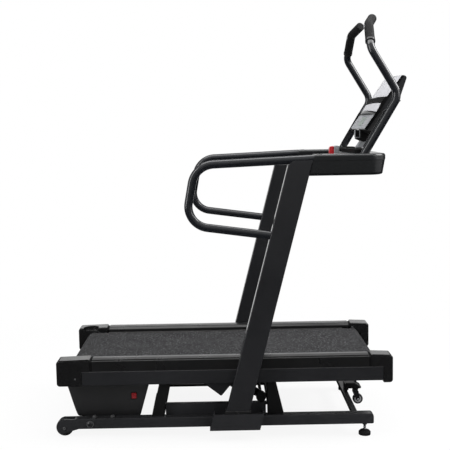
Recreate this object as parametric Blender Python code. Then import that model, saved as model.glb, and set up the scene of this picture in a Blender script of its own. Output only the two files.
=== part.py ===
"""Incline treadmill: flat running deck on a pivoting frame, side handrails and forward push bars.

Units are metres and +Z is up. +X is the front, where the console stands, and -Y is the runner's right.
Every piece is drawn in the machine's own frame, which is level with the base rails. That frame is
tipped front-up by TILT, because the front levelling feet are screwed out further than the rear wheels.
"""

import math

import bmesh
import bpy
from mathutils import Matrix, Vector

SIDES = (("right", -1), ("left", 1))
GAP = 0.0005
WELD = 0.000005
TILT = math.radians(1.0)
FRAME_SHIFT = 0.01138
FIT = 0.0006

# Base frame
RAIL_IN = 0.325
RAIL_OUT = 0.375
RAIL_BOTTOM = 0.047
RAIL_TOP = 0.094
RAIL_REAR = -0.722
RAIL_FRONT = 0.638
CROSS_BOTTOM = 0.050
CROSS_TOP = 0.090
PIVOT_CROSS = (-0.365, -0.322)
MIDDLE_CROSS = (0.168, 0.224)
FRONT_CROSS = (0.546, 0.571)
FRONT_CROSS_BOTTOM = 0.065
TRACK_IN = 0.145
TRACK_OUT = 0.175
TRACK_DEPTH = 0.012
UPSTAND_X = (-0.309, 0.150)
UPSTAND_IN = 0.319
UPSTAND_TOP = 0.1417

# Rear transport wheels, carried between two cheeks of the base rail
WHEEL_X = -0.768
WHEEL_RADIUS = 0.039
WHEEL_WIDTH = 0.026
WHEEL_PIN = 0.005
CHEEK_RADIUS = 0.0345
CHEEK_RISE = 0.006
CHEEK_PLATE = 0.006

# Front levelling feet and the swivel caster
FOOT_X = 0.600
FOOT_Y = 0.350
FOOT_RADIUS = 0.0275
FOOT_STEM = 0.006
FOOT_REACH = 0.022
CASTER_X = 0.610
CASTER_TRAIL = 0.011
CASTER_RADIUS = 0.025
CASTER_Z = 0.049
CASTER_ARM = (0.108, 0.136)
CASTER_STEM = 0.006
CASTER_PIN = 0.004
CASTER_HALF = 0.0125
CASTER_NOSE = 0.024

# Posts under the deck, with their rear and front edges at foot and head
POST_IN = 0.318
POST_OUT = 0.3485
POST_TOP = 0.307
PIVOT = (-0.306, 0.262)
PIVOT_PIN = 0.010
PIVOT_EYE = 0.0245
PIVOT_POST_FOOT = (-0.372, -0.318)
PIVOT_POST_WAIST = 0.192
MIDDLE_POST_FOOT = (0.156, 0.231)
MIDDLE_POST_HEAD = (0.156, 0.181)

# Uprights, leaning forward, in a socket outboard of the base rail
LEAN = 0.261
UPRIGHT_BOTTOM = 0.055
UPRIGHT_REAR = -0.0515
UPRIGHT_DEPTH = 0.104
UPRIGHT_IN = 0.381
UPRIGHT_OUT = 0.4305
UPRIGHT_ROUND = 0.009
COLLAR = (0.1228, 0.136)
COLLAR_LIP = 0.006
SOCKET_REAR = -0.107
SOCKET_LENGTH = 0.225
SOCKET_TOP = 0.122
SOCKET_OUT = 0.436
SOCKET_WALL = 0.005
SOCKET_FLANGE = 0.345

# Handrails
HANDRAIL_RADIUS = 0.0185
HANDRAIL_Y = 0.410
HANDRAIL_TOP_Z = 1.240
HANDRAIL_TOP_SLOPE = 0.038
HANDRAIL_LOW_Z = 0.9455
HANDRAIL_LOW_SLOPE = -0.140
HANDRAIL_UPPER_BEND = (-0.150, 0.100)
HANDRAIL_LOWER_BEND = (-0.199, 0.095)
HANDRAIL_TRAY_DEPTH = 0.040
HANDRAIL_POST_DEPTH = 0.018

# Console tray, a U in plan
TRAY_IN = 0.330
TRAY_OUT = 0.430
TRAY_BOTTOM = 1.180
TRAY_SEAM = 1.246
TRAY_TOP = 1.2725
TRAY_REAR = 0.350
TRAY_FRONT = 0.691
TRAY_CORNER = 0.085
TRAY_LIP = 0.003
TRAY_DRAFT = 0.010
BRIDGE_REAR = 0.560
BRIDGE_BOW = 0.029
BRIDGE_TOP = 1.288
BRIDGE_HALF = 0.300
BRIDGE_FLAT = 0.080
BRIDGE_ROUND = 0.200

# Push bars and their grips
BAR_RADIUS = 0.0175
BAR_Y = 0.370
BAR_FOOT = (0.574, 1.235)
BAR_ELBOW = (0.747, 1.525, 0.060)
BAR_BEND = (0.624, 1.728, 0.050)
GRIP_RADIUS = 0.0210
GRIP_BEND = (0.632, 0.262, 1.842)
GRIP_END = (0.664, 0.165, 1.878)
GRIP_START = 0.040
GRIP_SOCKET = 0.030
GRIP_KEY_HALF = 0.007
GRIP_KEY_RADIUS = 0.0055
GRIP_KEY_PROUD = 0.001
GRIP_KEY_THICK = 0.004
GRIP_KEY_TRAVEL = 0.0025
FLANGE_PLATE = 0.0055
FLANGE_REACH = 0.0205
FLANGE_ENDS = (0.050, 0.272)

# Console, on a face that leans back from the runner
FACE_FOOT = (0.624, 1.377)
FACE_ANGLE = math.radians(35.4)
FACE_HEIGHT = 0.298
FACE_HALF = 0.216
HOUSING_TOP = 0.0205
BEAM_SPAN = (0.000, 0.110)
BEAM_DEPTH = (-0.040, -0.010)
BEAM_HALF = 0.3518
PANEL_PLATE = 0.004
PANEL_SPANS = {
    "console_panel": (0.001, 0.080),
    "display_window": (0.096, 0.124),
    "tablet_panel": (0.178, 0.294),
}
LEDGE_SPAN = (0.082, 0.094)
LEDGE_OUT = (0.010, 0.020)
SHELF_SPAN = (0.128, 0.160)
SHELF_OUT = (0.012, 0.036)
SHELF_ARCH = 0.016
NECK_HALF = 0.090
NECK_REAR = (0.612, 0.648)
NECK_DEPTH = 0.032
NECK_TOP = 1.352

# Deck
SIDE_IN = 0.350
SIDE_BOTTOM = 0.248
SIDE_TOP = 0.3107
SIDE_END = 0.6825
GUSSET_Y = (0.352, 0.358)
GUSSET_ENDS = (-0.1486, 0.0089)
GUSSET_TIP = (-0.0534, 0.184)
SHELF_IN = 0.286
SHELF_TOP = 0.3212
BOARD_HALF = 0.300
BOARD_BOTTOM = 0.3217
BOARD_TOP = 0.3417
BOARD_ENDS = (-0.636, 0.585)
BELT_HALF = 0.255
BELT_THICK = 0.003
BELT_TOP = 0.3450
ROLLER_REAR = -0.711
ROLLER_FRONT = 0.631
ROLLER_RADIUS = 0.0295
ROLLER_HALF = 0.262
AXLE_RADIUS = 0.0085
AXLE_HALF = 0.345
RAIL_CREST = 0.366
RAIL_INNER = 0.288
FOOT_RAIL_ENDS = (-0.6385, 0.6225)
REAR_CAP = (-0.795, -0.683, -0.639)
FRONT_CAP = (0.724, 0.683, 0.623)
CAP_BOTTOM = 0.246
FRONT_CAP_BOTTOM = 0.238
CAP_ROUND = 0.014
CAP_TOP = 0.3672
CAP_OUT = 0.3765
SCOOP_X = -0.730
SCOOP_RADIUS = 0.040
SCOOP_FLOOR = 0.349
FRAME_BOTTOM = 0.2465
FRAME_TOP = 0.2665
FRAME_BEAM_Y = 0.200
FRAME_BEAM = 0.030

# Drive under the rear of the deck
MOTOR = (-0.600, 0.165)
MOTOR_RADIUS = 0.050
MOTOR_HALF = 0.160
SHAFT_RADIUS = 0.007
FAN_Y = (-0.190, -0.168)
FAN_RADIUS = 0.044
PULLEY_Y = (0.264, 0.284)
ROLLER_PULLEY = 0.026
MOTOR_PULLEY = 0.018
DRIVE_BELT_Y = (0.266, 0.282)
COVER_HALF = 0.305
COVER_WALL = 0.003
COVER_TOP = 0.2455
COVER_REAR = (-0.763, -0.716)
COVER_FRONT = (-0.388, -0.429)
COVER_BOTTOM = (0.083, 0.077)
COVER_CORNER = 0.030
SWITCH = (-0.455, 0.178)
SWITCH_SIZE = (0.022, 0.028)

# Incline lift
LIFT_HINGE = (-0.030, 0.215)
LIFT_ROLLER = (0.135, 0.1195)
LIFT_ROLLER_RADIUS = 0.024
LIFT_TUBE = 0.018
LIFT_STUB = 0.0075
LIFT_LUGS = (0.1785, 0.1865)
LIFT_ARM_Y = (0.124, 0.132)
LIFT_LEVER_Y = (0.044, 0.051)
LEVER_PIN = (0.040, 0.105)
PIN_RADIUS = 0.006
PIN_PLAY = 0.002
SPINDLE = 0.0078
ACTUATOR_HINGE = (-0.140, 0.222)
ACTUATOR_STUB = 0.0065
ACTUATOR_LUGS = (0.0225, 0.0300)
ACTUATOR_BODY = (0.030, 0.1315)
ACTUATOR_LOW = -0.048
ACTUATOR_HIGH = 0.030
ACTUATOR_HALF = 0.040
ROD_RADIUS = 0.011
ROD_START = 0.075
ROD_EYE = 0.016

# Safety key on the rear face of the tray bridge
KEY_Z = (1.258, 1.299)
KEY_SOCKET_X = (0.507, 0.5305)
KEY_X = (0.485, 0.5065)
KEY_HALF = 0.018
KEY_SOCKET_HALF = 0.026
TONGUE = (0.0196, 0.0096)

FINISHES = {
    "frame_paint": ((0.018, 0.018, 0.020), 0.42, 0.0),
    "tube_paint": ((0.016, 0.016, 0.018), 0.30, 0.0),
    "matte_plastic": ((0.022, 0.022, 0.024), 0.55, 0.0),
    "rail_plastic": ((0.030, 0.030, 0.032), 0.45, 0.0),
    "grip_rubber": ((0.020, 0.020, 0.021), 0.75, 0.0),
    "wheel_rubber": ((0.018, 0.018, 0.019), 0.70, 0.0),
    "belt_fabric": ((0.060, 0.060, 0.062), 0.85, 0.0),
    "board_wood": ((0.100, 0.080, 0.060), 0.70, 0.0),
    "steel": ((0.550, 0.550, 0.560), 0.30, 1.0),
    "motor_shell": ((0.080, 0.080, 0.085), 0.45, 0.6),
    "silver_plastic": ((0.480, 0.490, 0.500), 0.40, 0.2),
    "white_panel": ((0.780, 0.785, 0.790), 0.35, 0.0),
    "key_red": ((0.500, 0.015, 0.020), 0.40, 0.0),
    "caster_grey": ((0.300, 0.300, 0.310), 0.55, 0.0),
}


def clear_scene():
    for item in list(bpy.data.objects):
        bpy.data.objects.remove(item, do_unlink=True)


def finish(name):
    """A Principled material, made the first time it is asked for."""
    if name in bpy.data.materials:
        return bpy.data.materials[name]
    colour, roughness, metallic = FINISHES[name]
    material = bpy.data.materials.new(name)
    material.use_nodes = True
    shader = material.node_tree.nodes["Principled BSDF"]
    shader.inputs["Base Color"].default_value = (*colour, 1.0)
    shader.inputs["Roughness"].default_value = roughness
    shader.inputs["Metallic"].default_value = metallic
    return material


def add_empty(name):
    empty = bpy.data.objects.new(name, None)
    bpy.context.scene.collection.objects.link(empty)
    return empty


def tipped(x, z):
    """World x and z of a point given in the machine frame."""
    world_x = x * math.cos(TILT) - z * math.sin(TILT) + FRAME_SHIFT
    world_z = x * math.sin(TILT) + z * math.cos(TILT)
    return world_x, world_z


def band(side, a, b):
    """Lowest and highest y of a strip that lies a to b from the middle, on one side."""
    return min(side * a, side * b), max(side * a, side * b)


def arc(centre, radius, start, end, steps):
    """Points on a circle, from start to end in degrees."""
    points = []
    for step in range(steps + 1):
        angle = math.radians(start + (end - start) * step / steps)
        points.append((centre[0] + radius * math.cos(angle), centre[1] + radius * math.sin(angle)))
    return points


def rounded(corners, steps=3):
    """A closed path through corners, each with a radius as its last value (0 keeps it sharp)."""
    points = []
    count = len(corners)
    for index, corner in enumerate(corners):
        here = Vector(corner[:-1])
        radius = corner[-1]
        if radius == 0:
            points.append(tuple(here))
            continue
        before = Vector(corners[index - 1][:-1])
        after = Vector(corners[(index + 1) % count][:-1])
        points.extend(fillet(before, here, after, radius, steps))
    return points


def fillet(before, here, after, radius, steps):
    """The arc that rounds the corner at here."""
    back = (before - here).normalized()
    onward = (after - here).normalized()
    half = back.angle(onward) / 2
    reach = radius / math.tan(half)
    centre = here + (back + onward).normalized() * (radius / math.sin(half))
    first = here + back * reach - centre
    last = here + onward * reach - centre
    sweep = first.angle(last)
    points = []
    for step in range(steps + 1):
        part = step / steps
        blend = first * math.sin((1 - part) * sweep) + last * math.sin(part * sweep)
        points.append(tuple(centre + blend / math.sin(sweep)))
    return points


def bent(corners, steps=4):
    """An open path whose inner corners are rounded."""
    points = [corners[0][:-1]]
    for index in range(1, len(corners) - 1):
        before = Vector(corners[index - 1][:-1])
        here = Vector(corners[index][:-1])
        after = Vector(corners[index + 1][:-1])
        points.extend(fillet(before, here, after, corners[index][-1], steps))
    points.append(corners[-1][:-1])
    return points


def link_outline(first, first_radius, second, second_radius, steps=3):
    """The outline of a flat link with round ends."""
    direction = math.degrees(math.atan2(second[1] - first[1], second[0] - first[0]))
    reach = math.dist(first, second)
    slant = math.degrees(math.acos((first_radius - second_radius) / reach))
    near_end = arc(first, first_radius, direction + slant, direction + 360 - slant, steps + 2)
    far_end = arc(second, second_radius, direction - slant, direction + slant, steps)
    return near_end + far_end


AXES = {"X": lambda u, v, w: (w, u, v), "Y": lambda u, v, w: (u, w, v), "Z": lambda u, v, w: (u, v, w)}


def prism(outline, axis, low, high):
    """A flat outline drawn out along one axis."""
    lift = AXES[axis]
    mesh = bmesh.new()
    bottom = [mesh.verts.new(lift(u, v, low)) for u, v in outline]
    top = [mesh.verts.new(lift(u, v, high)) for u, v in outline]
    count = len(outline)
    mesh.faces.new(bottom)
    mesh.faces.new(list(reversed(top)))
    for index in range(count):
        onward = (index + 1) % count
        mesh.faces.new((bottom[onward], bottom[index], top[index], top[onward]))
    return mesh


def block(x, y, z):
    """A plain box from three (low, high) pairs."""
    return prism([(x[0], z[0]), (x[1], z[0]), (x[1], z[1]), (x[0], z[1])], "Y", y[0], y[1])


def turned(profile, axis, centre, sides=16, bored=False):
    """A profile of (radius, along) pairs spun about an axis through centre."""
    lift = AXES[axis]
    mesh = bmesh.new()
    rings = []
    for radius, along in profile:
        if radius == 0:
            rings.append([mesh.verts.new(Vector(lift(0, 0, along)) + Vector(centre))])
            continue
        ring = []
        for u, v in arc((0, 0), radius, 0, 360 - 360 / sides, sides - 1):
            ring.append(mesh.verts.new(Vector(lift(u, v, along)) + Vector(centre)))
        rings.append(ring)
    pairs = list(zip(rings, rings[1:]))
    if bored:
        pairs.append((rings[-1], rings[0]))
    for first, second in pairs:
        for index in range(sides):
            onward = (index + 1) % sides
            corners = []
            for ring, place in ((first, index), (first, onward), (second, onward), (second, index)):
                vertex = ring[place % len(ring)]
                if vertex not in corners:
                    corners.append(vertex)
            mesh.faces.new(corners)
    return mesh


def rod(centre, radius, axis, low, high, sides=16):
    return turned([(0, low), (radius, low), (radius, high), (0, high)], axis, centre, sides)


def round_bar(start, end, radius, sides=16):
    """A straight round bar between two points, for bores at a slant."""
    start = Vector(start)
    end = Vector(end)
    mesh = rod((0, 0, 0), radius, "Z", 0, (end - start).length, sides)
    turn = (end - start).to_track_quat("Z", "Y").to_matrix().to_4x4()
    bmesh.ops.transform(mesh, matrix=Matrix.Translation(start) @ turn, verts=mesh.verts)
    return mesh


def piece(name, mesh, finish_name, parent, at=(0, 0, 0), edge=0.0, segments=2):
    """A finished object whose origin is at the point at, with its edges softened."""
    bmesh.ops.translate(mesh, vec=-Vector(at), verts=mesh.verts)
    bmesh.ops.recalc_face_normals(mesh, faces=mesh.faces)
    data = bpy.data.meshes.new(name)
    mesh.to_mesh(data)
    mesh.free()
    data.materials.append(finish(finish_name))
    item = bpy.data.objects.new(name, data)
    bpy.context.scene.collection.objects.link(item)
    item.location = at
    item.parent = parent
    if edge:
        soften(item, edge, segments)
    shade(data)
    return item


def soften(item, width, segments):
    bevel = item.modifiers.new("soft edges", "BEVEL")
    bevel.width = width
    bevel.segments = segments
    bevel.limit_method = "ANGLE"
    bevel.angle_limit = math.radians(40)


def shade(data):
    data.shade_smooth()
    data.set_sharp_from_angle(angle=math.radians(35))


def bake(item):
    """Turn an object's modifiers, or its curve, into a plain mesh."""
    bpy.context.view_layer.update()
    graph = bpy.context.evaluated_depsgraph_get()
    data = bpy.data.meshes.new_from_object(item.evaluated_get(graph))
    data.name = item.name
    if item.type == "MESH":
        item.modifiers.clear()
        item.data = data
        return item
    name = item.name
    parent = item.parent
    bpy.data.objects.remove(item)
    baked = bpy.data.objects.new(name, data)
    bpy.context.scene.collection.objects.link(baked)
    baked.parent = parent
    return baked


def combine(item, mesh, operation, parent, edge=0.0, segments=1):
    """Join a second shape to an object (UNION) or take it away (DIFFERENCE)."""
    tool = piece(item.name + "_tool", mesh, item.data.materials[0].name, parent, (0, 0, 0), edge, segments)
    boolean = item.modifiers.new("shape", "BOOLEAN")
    boolean.operation = operation
    boolean.solver = "EXACT"
    boolean.object = tool
    bake(item)
    bpy.data.objects.remove(tool)
    shade(item.data)
    return item


def tube(name, path, radius, finish_name, parent, resolution=4):
    """A round tube along a path, with closed ends."""
    curve = bpy.data.curves.new(name, "CURVE")
    curve.dimensions = "3D"
    curve.bevel_depth = radius
    curve.bevel_resolution = resolution
    curve.use_fill_caps = True
    spline = curve.splines.new("POLY")
    spline.points.add(len(path) - 1)
    for point, place in zip(spline.points, path):
        point.co = (*place, 1.0)
    curve.materials.append(finish(finish_name))
    item = bpy.data.objects.new(name, curve)
    bpy.context.scene.collection.objects.link(item)
    item.parent = parent
    baked = bake(item)
    weld(baked.data)
    shade(baked.data)
    return baked


def weld(data):
    """Join a tube's end caps to its wall."""
    mesh = bmesh.new()
    mesh.from_mesh(data)
    bmesh.ops.remove_doubles(mesh, verts=mesh.verts, dist=WELD)
    mesh.to_mesh(data)
    mesh.free()


def wheel_height():
    """Height of the wheel pin in the machine frame, with the wheel on the floor."""
    return (WHEEL_RADIUS - WHEEL_X * math.sin(TILT)) / math.cos(TILT)


def leaning(x, z, rise):
    """Where a point at the upright's foot comes to, at a height along the lean."""
    return x + (rise - z) * LEAN


def handrail_top(x):
    return HANDRAIL_TOP_Z + HANDRAIL_TOP_SLOPE * x


def handrail_low(x):
    return HANDRAIL_LOW_Z + HANDRAIL_LOW_SLOPE * x


def make_base_rail(machine, name, side):
    """Box rail with wheel cheeks at its rear end, the upright's socket outside and a long upstand inside."""
    outline = rounded([
        (RAIL_REAR, RAIL_BOTTOM, 0),
        (RAIL_FRONT, RAIL_BOTTOM, 0.006),
        (RAIL_FRONT, RAIL_TOP, 0.014),
        (RAIL_REAR, RAIL_TOP, 0),
    ])
    rail = piece(f"base_rail_{name}", prism(outline, "Y", *band(side, RAIL_IN, RAIL_OUT)), "frame_paint",
                 machine, edge=0.003)
    axle = (WHEEL_X, wheel_height())
    cheek = arc((axle[0], axle[1] + CHEEK_RISE), CHEEK_RADIUS, 90, 250, 10)
    cheek += [(RAIL_REAR + 0.020, RAIL_BOTTOM + 0.001), (RAIL_REAR + 0.020, RAIL_TOP - 0.001)]
    for inner in (RAIL_IN, RAIL_OUT - CHEEK_PLATE):
        combine(rail, prism(cheek, "Y", *band(side, inner, inner + CHEEK_PLATE)), "UNION", machine)
    pin = rod((axle[0], 0, axle[1]), WHEEL_PIN, "Y", *band(side, RAIL_IN + 0.001, RAIL_OUT - 0.001), 12)
    combine(rail, pin, "UNION", machine)
    combine(rail, socket_shell(side), "UNION", machine)
    combine(rail, socket_pocket(side), "DIFFERENCE", machine)
    combine(rail, socket_bay(side), "DIFFERENCE", machine)
    hole = rod((FOOT_X, side * FOOT_Y, 0), FOOT_STEM + 0.0015, "Z", RAIL_BOTTOM - 0.01,
               RAIL_BOTTOM + FOOT_REACH + 0.004, 12)
    combine(rail, hole, "DIFFERENCE", machine)
    upstand = block(UPSTAND_X, band(side, UPSTAND_IN, RAIL_IN + 0.002), (RAIL_BOTTOM + 0.010, UPSTAND_TOP))
    combine(rail, upstand, "UNION", machine)


def slanted(rear, front, low, high):
    """A parallelogram that follows the lean of the uprights."""
    shift = (high - low) * LEAN
    return [(rear, low), (front, low), (front + shift, high), (rear + shift, high)]


def socket_shell(side):
    outline = slanted(SOCKET_REAR, SOCKET_REAR + SOCKET_LENGTH, RAIL_BOTTOM + 0.001, SOCKET_TOP)
    return prism(outline, "Y", *band(side, SOCKET_FLANGE, SOCKET_OUT))


def socket_opening(low):
    shift = (low - RAIL_BOTTOM - 0.001) * LEAN
    rear = SOCKET_REAR + SOCKET_WALL + shift
    front = SOCKET_REAR + SOCKET_LENGTH - SOCKET_WALL + shift
    return slanted(rear, front, low, SOCKET_TOP + 0.020)


def socket_pocket(side):
    """Room for the upright's foot, outboard of the rail."""
    width = band(side, RAIL_OUT + GAP, SOCKET_OUT - SOCKET_WALL)
    return prism(socket_opening(RAIL_BOTTOM + SOCKET_WALL), "Y", *width)


def socket_bay(side):
    """The space over the rail, between the socket's two flanges."""
    width = band(side, SOCKET_FLANGE - 0.01, SOCKET_OUT - SOCKET_WALL)
    return prism(socket_opening(RAIL_TOP + 0.0002), "Y", *width)


def make_wheel(machine, name, side):
    middle = side * (RAIL_IN + RAIL_OUT) / 2
    half = WHEEL_WIDTH / 2
    bore = WHEEL_PIN + FIT
    profile = [
        (bore, -half), (0.014, -half), (0.014, -half + 0.003), (0.031, -half + 0.003), (0.031, -half),
        (WHEEL_RADIUS - 0.003, -half), (WHEEL_RADIUS, -half + 0.005), (WHEEL_RADIUS, half - 0.005),
        (WHEEL_RADIUS - 0.003, half), (bore, half),
    ]
    at = (WHEEL_X, middle, wheel_height())
    piece(f"transport_wheel_{name}", turned(profile, "Y", at, 20, bored=True), "wheel_rubber", machine, at)


def make_foot(name, side):
    """A levelling foot: pad, screw and lock nut. It stands plumb, so it isn't tipped with the machine."""
    x, rail_bottom = tipped(FOOT_X, RAIL_BOTTOM)
    profile = [
        (0, 0), (FOOT_RADIUS - 0.002, 0), (FOOT_RADIUS, 0.002), (FOOT_RADIUS, 0.014), (0.022, 0.020),
        (0.012, 0.024), (0.011, 0.026), (FOOT_STEM, 0.026), (FOOT_STEM, rail_bottom - 0.010),
        (0.011, rail_bottom - 0.010), (0.011, rail_bottom - 0.001), (FOOT_STEM, rail_bottom - 0.001),
        (FOOT_STEM, rail_bottom + FOOT_REACH), (0, rail_bottom + FOOT_REACH),
    ]
    at = (x, side * FOOT_Y, 0)
    piece(f"levelling_foot_{name}", turned(profile, "Z", at, 12), "matte_plastic", None, at)


def make_cross_tubes(machine):
    half = RAIL_IN - GAP
    for name, ends in (("pivot_cross_tube", PIVOT_CROSS), ("middle_cross_tube", MIDDLE_CROSS)):
        piece(name, block(ends, (-half, half), (CROSS_BOTTOM, CROSS_TOP)), "frame_paint", machine, edge=0.003)
    tube_body = block(FRONT_CROSS, (-half, half), (FRONT_CROSS_BOTTOM, CROSS_TOP))
    front = piece("front_cross_tube", tube_body, "frame_paint", machine, edge=0.003)
    low, high = CASTER_ARM
    arm = rounded([
        (FRONT_CROSS[0] + 0.008, CROSS_TOP - 0.004, 0), (FRONT_CROSS[1] - 0.006, CROSS_TOP - 0.004, 0),
        (FRONT_CROSS[1] - 0.003, low, 0.004), (CASTER_X + CASTER_NOSE, low, 0.005),
        (CASTER_X + CASTER_NOSE, low + 0.010, 0.004), (CASTER_X - 0.005, high, 0.010),
        (FRONT_CROSS[0] + 0.008, high, 0.008),
    ])
    combine(front, prism(arm, "Y", -0.030, 0.030), "UNION", machine, 0.002)
    bore = rod((CASTER_X, 0, 0), CASTER_STEM + FIT, "Z", low - 0.01, high + 0.01, 12)
    combine(front, bore, "DIFFERENCE", machine)


def make_tracks(machine):
    for name, side in SIDES:
        body = block((PIVOT_CROSS[1] + GAP, MIDDLE_CROSS[0] - GAP), band(side, TRACK_IN, TRACK_OUT),
                     (RAIL_TOP - TRACK_DEPTH, RAIL_TOP))
        piece(f"inner_rail_{name}", body, "frame_paint", machine, edge=0.002)


def make_caster(machine):
    axle_x = CASTER_X + CASTER_TRAIL
    crown = CASTER_ARM[0] - 0.004
    at = (CASTER_X, 0, crown)
    tip = CASTER_ARM[1] + 0.004
    stem = [
        (0, crown - 0.005), (0.016, crown - 0.005), (0.016, crown),
        (CASTER_STEM, crown), (CASTER_STEM, tip), (0, tip),
    ]
    fork = piece("caster_fork", turned(stem, "Z", (CASTER_X, 0, 0), 12), "caster_grey", machine, at)
    cheek = link_outline((CASTER_X, crown - 0.017), 0.014, (axle_x, CASTER_Z), 0.009)
    for side in (-1, 1):
        combine(fork, prism(cheek, "Y", *band(side, 0.0150, 0.0175)), "UNION", machine)
    bridge = block((CASTER_X - 0.012, CASTER_X + 0.012), (-0.0165, 0.0165), (crown - 0.006, crown - 0.002))
    combine(fork, bridge, "UNION", machine)
    combine(fork, rod((axle_x, 0, CASTER_Z), CASTER_PIN, "Y", -0.0165, 0.0165, 10), "UNION", machine)
    half = CASTER_HALF
    bore = CASTER_PIN + FIT
    tread = CASTER_RADIUS - 0.003
    profile = [
        (bore, -half), (0.010, -half), (0.018, -half + 0.002), (tread, -half + 0.001),
        (CASTER_RADIUS, -half + 0.005), (CASTER_RADIUS, half - 0.005), (tread, half - 0.001),
        (0.018, half - 0.002), (0.010, half), (bore, half),
    ]
    wheel_at = (axle_x, 0, CASTER_Z)
    piece("caster_wheel", turned(profile, "Y", wheel_at, 16, bored=True), "wheel_rubber", machine, wheel_at)


def make_posts(machine, name, side):
    """Two posts on each base rail: the rear one carries the hinge pin, the other the level deck."""
    seat = RAIL_TOP + GAP
    spread = band(side, POST_IN, POST_OUT)
    head = link_outline((PIVOT[0] - 0.020, PIVOT_POST_WAIST - 0.020), PIVOT_EYE + 0.001, PIVOT, PIVOT_EYE)
    post = piece(f"pivot_post_{name}", prism(head, "Y", *spread), "frame_paint", machine)
    rear, front = PIVOT_POST_FOOT
    foot = [(rear, seat), (front, seat), (front + 0.0165, PIVOT_POST_WAIST), (rear + 0.022, PIVOT_POST_WAIST)]
    combine(post, prism(foot, "Y", *spread), "UNION", machine)
    pin = rod((PIVOT[0], 0, PIVOT[1]), PIVOT_PIN, "Y", *band(side, POST_OUT - 0.004, RAIL_OUT - 0.006), 16)
    combine(post, pin, "UNION", machine)
    rear, front = MIDDLE_POST_FOOT
    outline = [(rear, seat), (front, seat), (MIDDLE_POST_HEAD[1], POST_TOP), (MIDDLE_POST_HEAD[0], POST_TOP)]
    piece(f"middle_post_{name}", prism(outline, "Y", *spread), "frame_paint", machine, edge=0.003)


def make_upright(machine, name, side):
    """Rounded box tube, cut off square under the handrail."""
    low, high = band(side, UPRIGHT_IN, UPRIGHT_OUT)
    front = UPRIGHT_REAR + UPRIGHT_DEPTH
    plan = rounded([
        (UPRIGHT_REAR, low, UPRIGHT_ROUND), (front, low, UPRIGHT_ROUND),
        (front, high, UPRIGHT_ROUND), (UPRIGHT_REAR, high, UPRIGHT_ROUND),
    ])
    mesh = prism(plan, "Z", UPRIGHT_BOTTOM, 1.0)
    for vertex in mesh.verts:
        if vertex.co.z > UPRIGHT_BOTTOM + 0.1:
            vertex.co.z = upright_top(vertex.co.x)
            vertex.co.x = leaning(vertex.co.x, UPRIGHT_BOTTOM, vertex.co.z)
    upright = piece(f"upright_{name}", mesh, "frame_paint", machine)
    rise = (COLLAR[0] - UPRIGHT_BOTTOM) * LEAN
    collar = slanted(UPRIGHT_REAR + rise - COLLAR_LIP, front + rise + COLLAR_LIP, *COLLAR)
    collar_mesh = prism(collar, "Y", *band(side, UPRIGHT_IN, SOCKET_OUT - 0.002))
    combine(upright, collar_mesh, "UNION", machine, 0.002)
    combine(upright, handrail_bore(side), "DIFFERENCE", machine)


def upright_top(x):
    """Height of the cut under the handrail, for a foot point at x."""
    clear = HANDRAIL_RADIUS + GAP
    base = HANDRAIL_TOP_Z - clear + HANDRAIL_TOP_SLOPE * (x - LEAN * UPRIGHT_BOTTOM)
    return base / (1 - HANDRAIL_TOP_SLOPE * LEAN)


def upright_rear(z):
    return leaning(UPRIGHT_REAR, UPRIGHT_BOTTOM, z)


def handrail_foot():
    """Where the handrail's lower run ends, inside the upright."""
    x = upright_rear(HANDRAIL_LOW_Z) + HANDRAIL_POST_DEPTH
    return x, handrail_low(x)


def handrail_bore(side):
    x, z = handrail_foot()
    deep = x + 0.003
    return round_bar((x - 0.08, side * HANDRAIL_Y, handrail_low(x - 0.08)),
                     (deep, side * HANDRAIL_Y, handrail_low(deep)), HANDRAIL_RADIUS + FIT)


def tray_rear(z):
    """The tray's arms meet the front of the uprights on the same lean."""
    return leaning(UPRIGHT_REAR + UPRIGHT_DEPTH, UPRIGHT_BOTTOM, z) + 2 * GAP


def make_handrail(machine, name, side):
    y = side * HANDRAIL_Y
    start_x, start_z = handrail_foot()
    end_x = tray_rear(TRAY_SEAM) + HANDRAIL_TRAY_DEPTH
    upper_x, upper_radius = HANDRAIL_UPPER_BEND
    lower_x, lower_radius = HANDRAIL_LOWER_BEND
    path = bent([
        (start_x, y, start_z, 0),
        (lower_x, y, handrail_low(lower_x), lower_radius),
        (upper_x, y, handrail_top(upper_x), upper_radius),
        (end_x, y, handrail_top(end_x), 0),
    ], 5)
    tube(f"handrail_{name}", path, HANDRAIL_RADIUS, "tube_paint", machine, 4)


def tray_outline(inset):
    """The tray's plan: two arms and a bowed bridge across the front."""
    out = TRAY_OUT - inset
    inner = TRAY_IN + inset
    rear = TRAY_REAR
    front = TRAY_FRONT - inset
    corner = TRAY_CORNER - inset
    return rounded([
        (rear, -out, 0), (front, -out, corner), (front, out, corner), (rear, out, 0),
        (rear, inner, 0), (BRIDGE_REAR + inset, inner, 0.040),
        (BRIDGE_REAR - BRIDGE_BOW + inset, BRIDGE_FLAT, BRIDGE_ROUND),
        (BRIDGE_REAR - BRIDGE_BOW + inset, -BRIDGE_FLAT, BRIDGE_ROUND),
        (BRIDGE_REAR + inset, -inner, 0.040), (rear, -inner, 0),
    ], 4)


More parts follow.
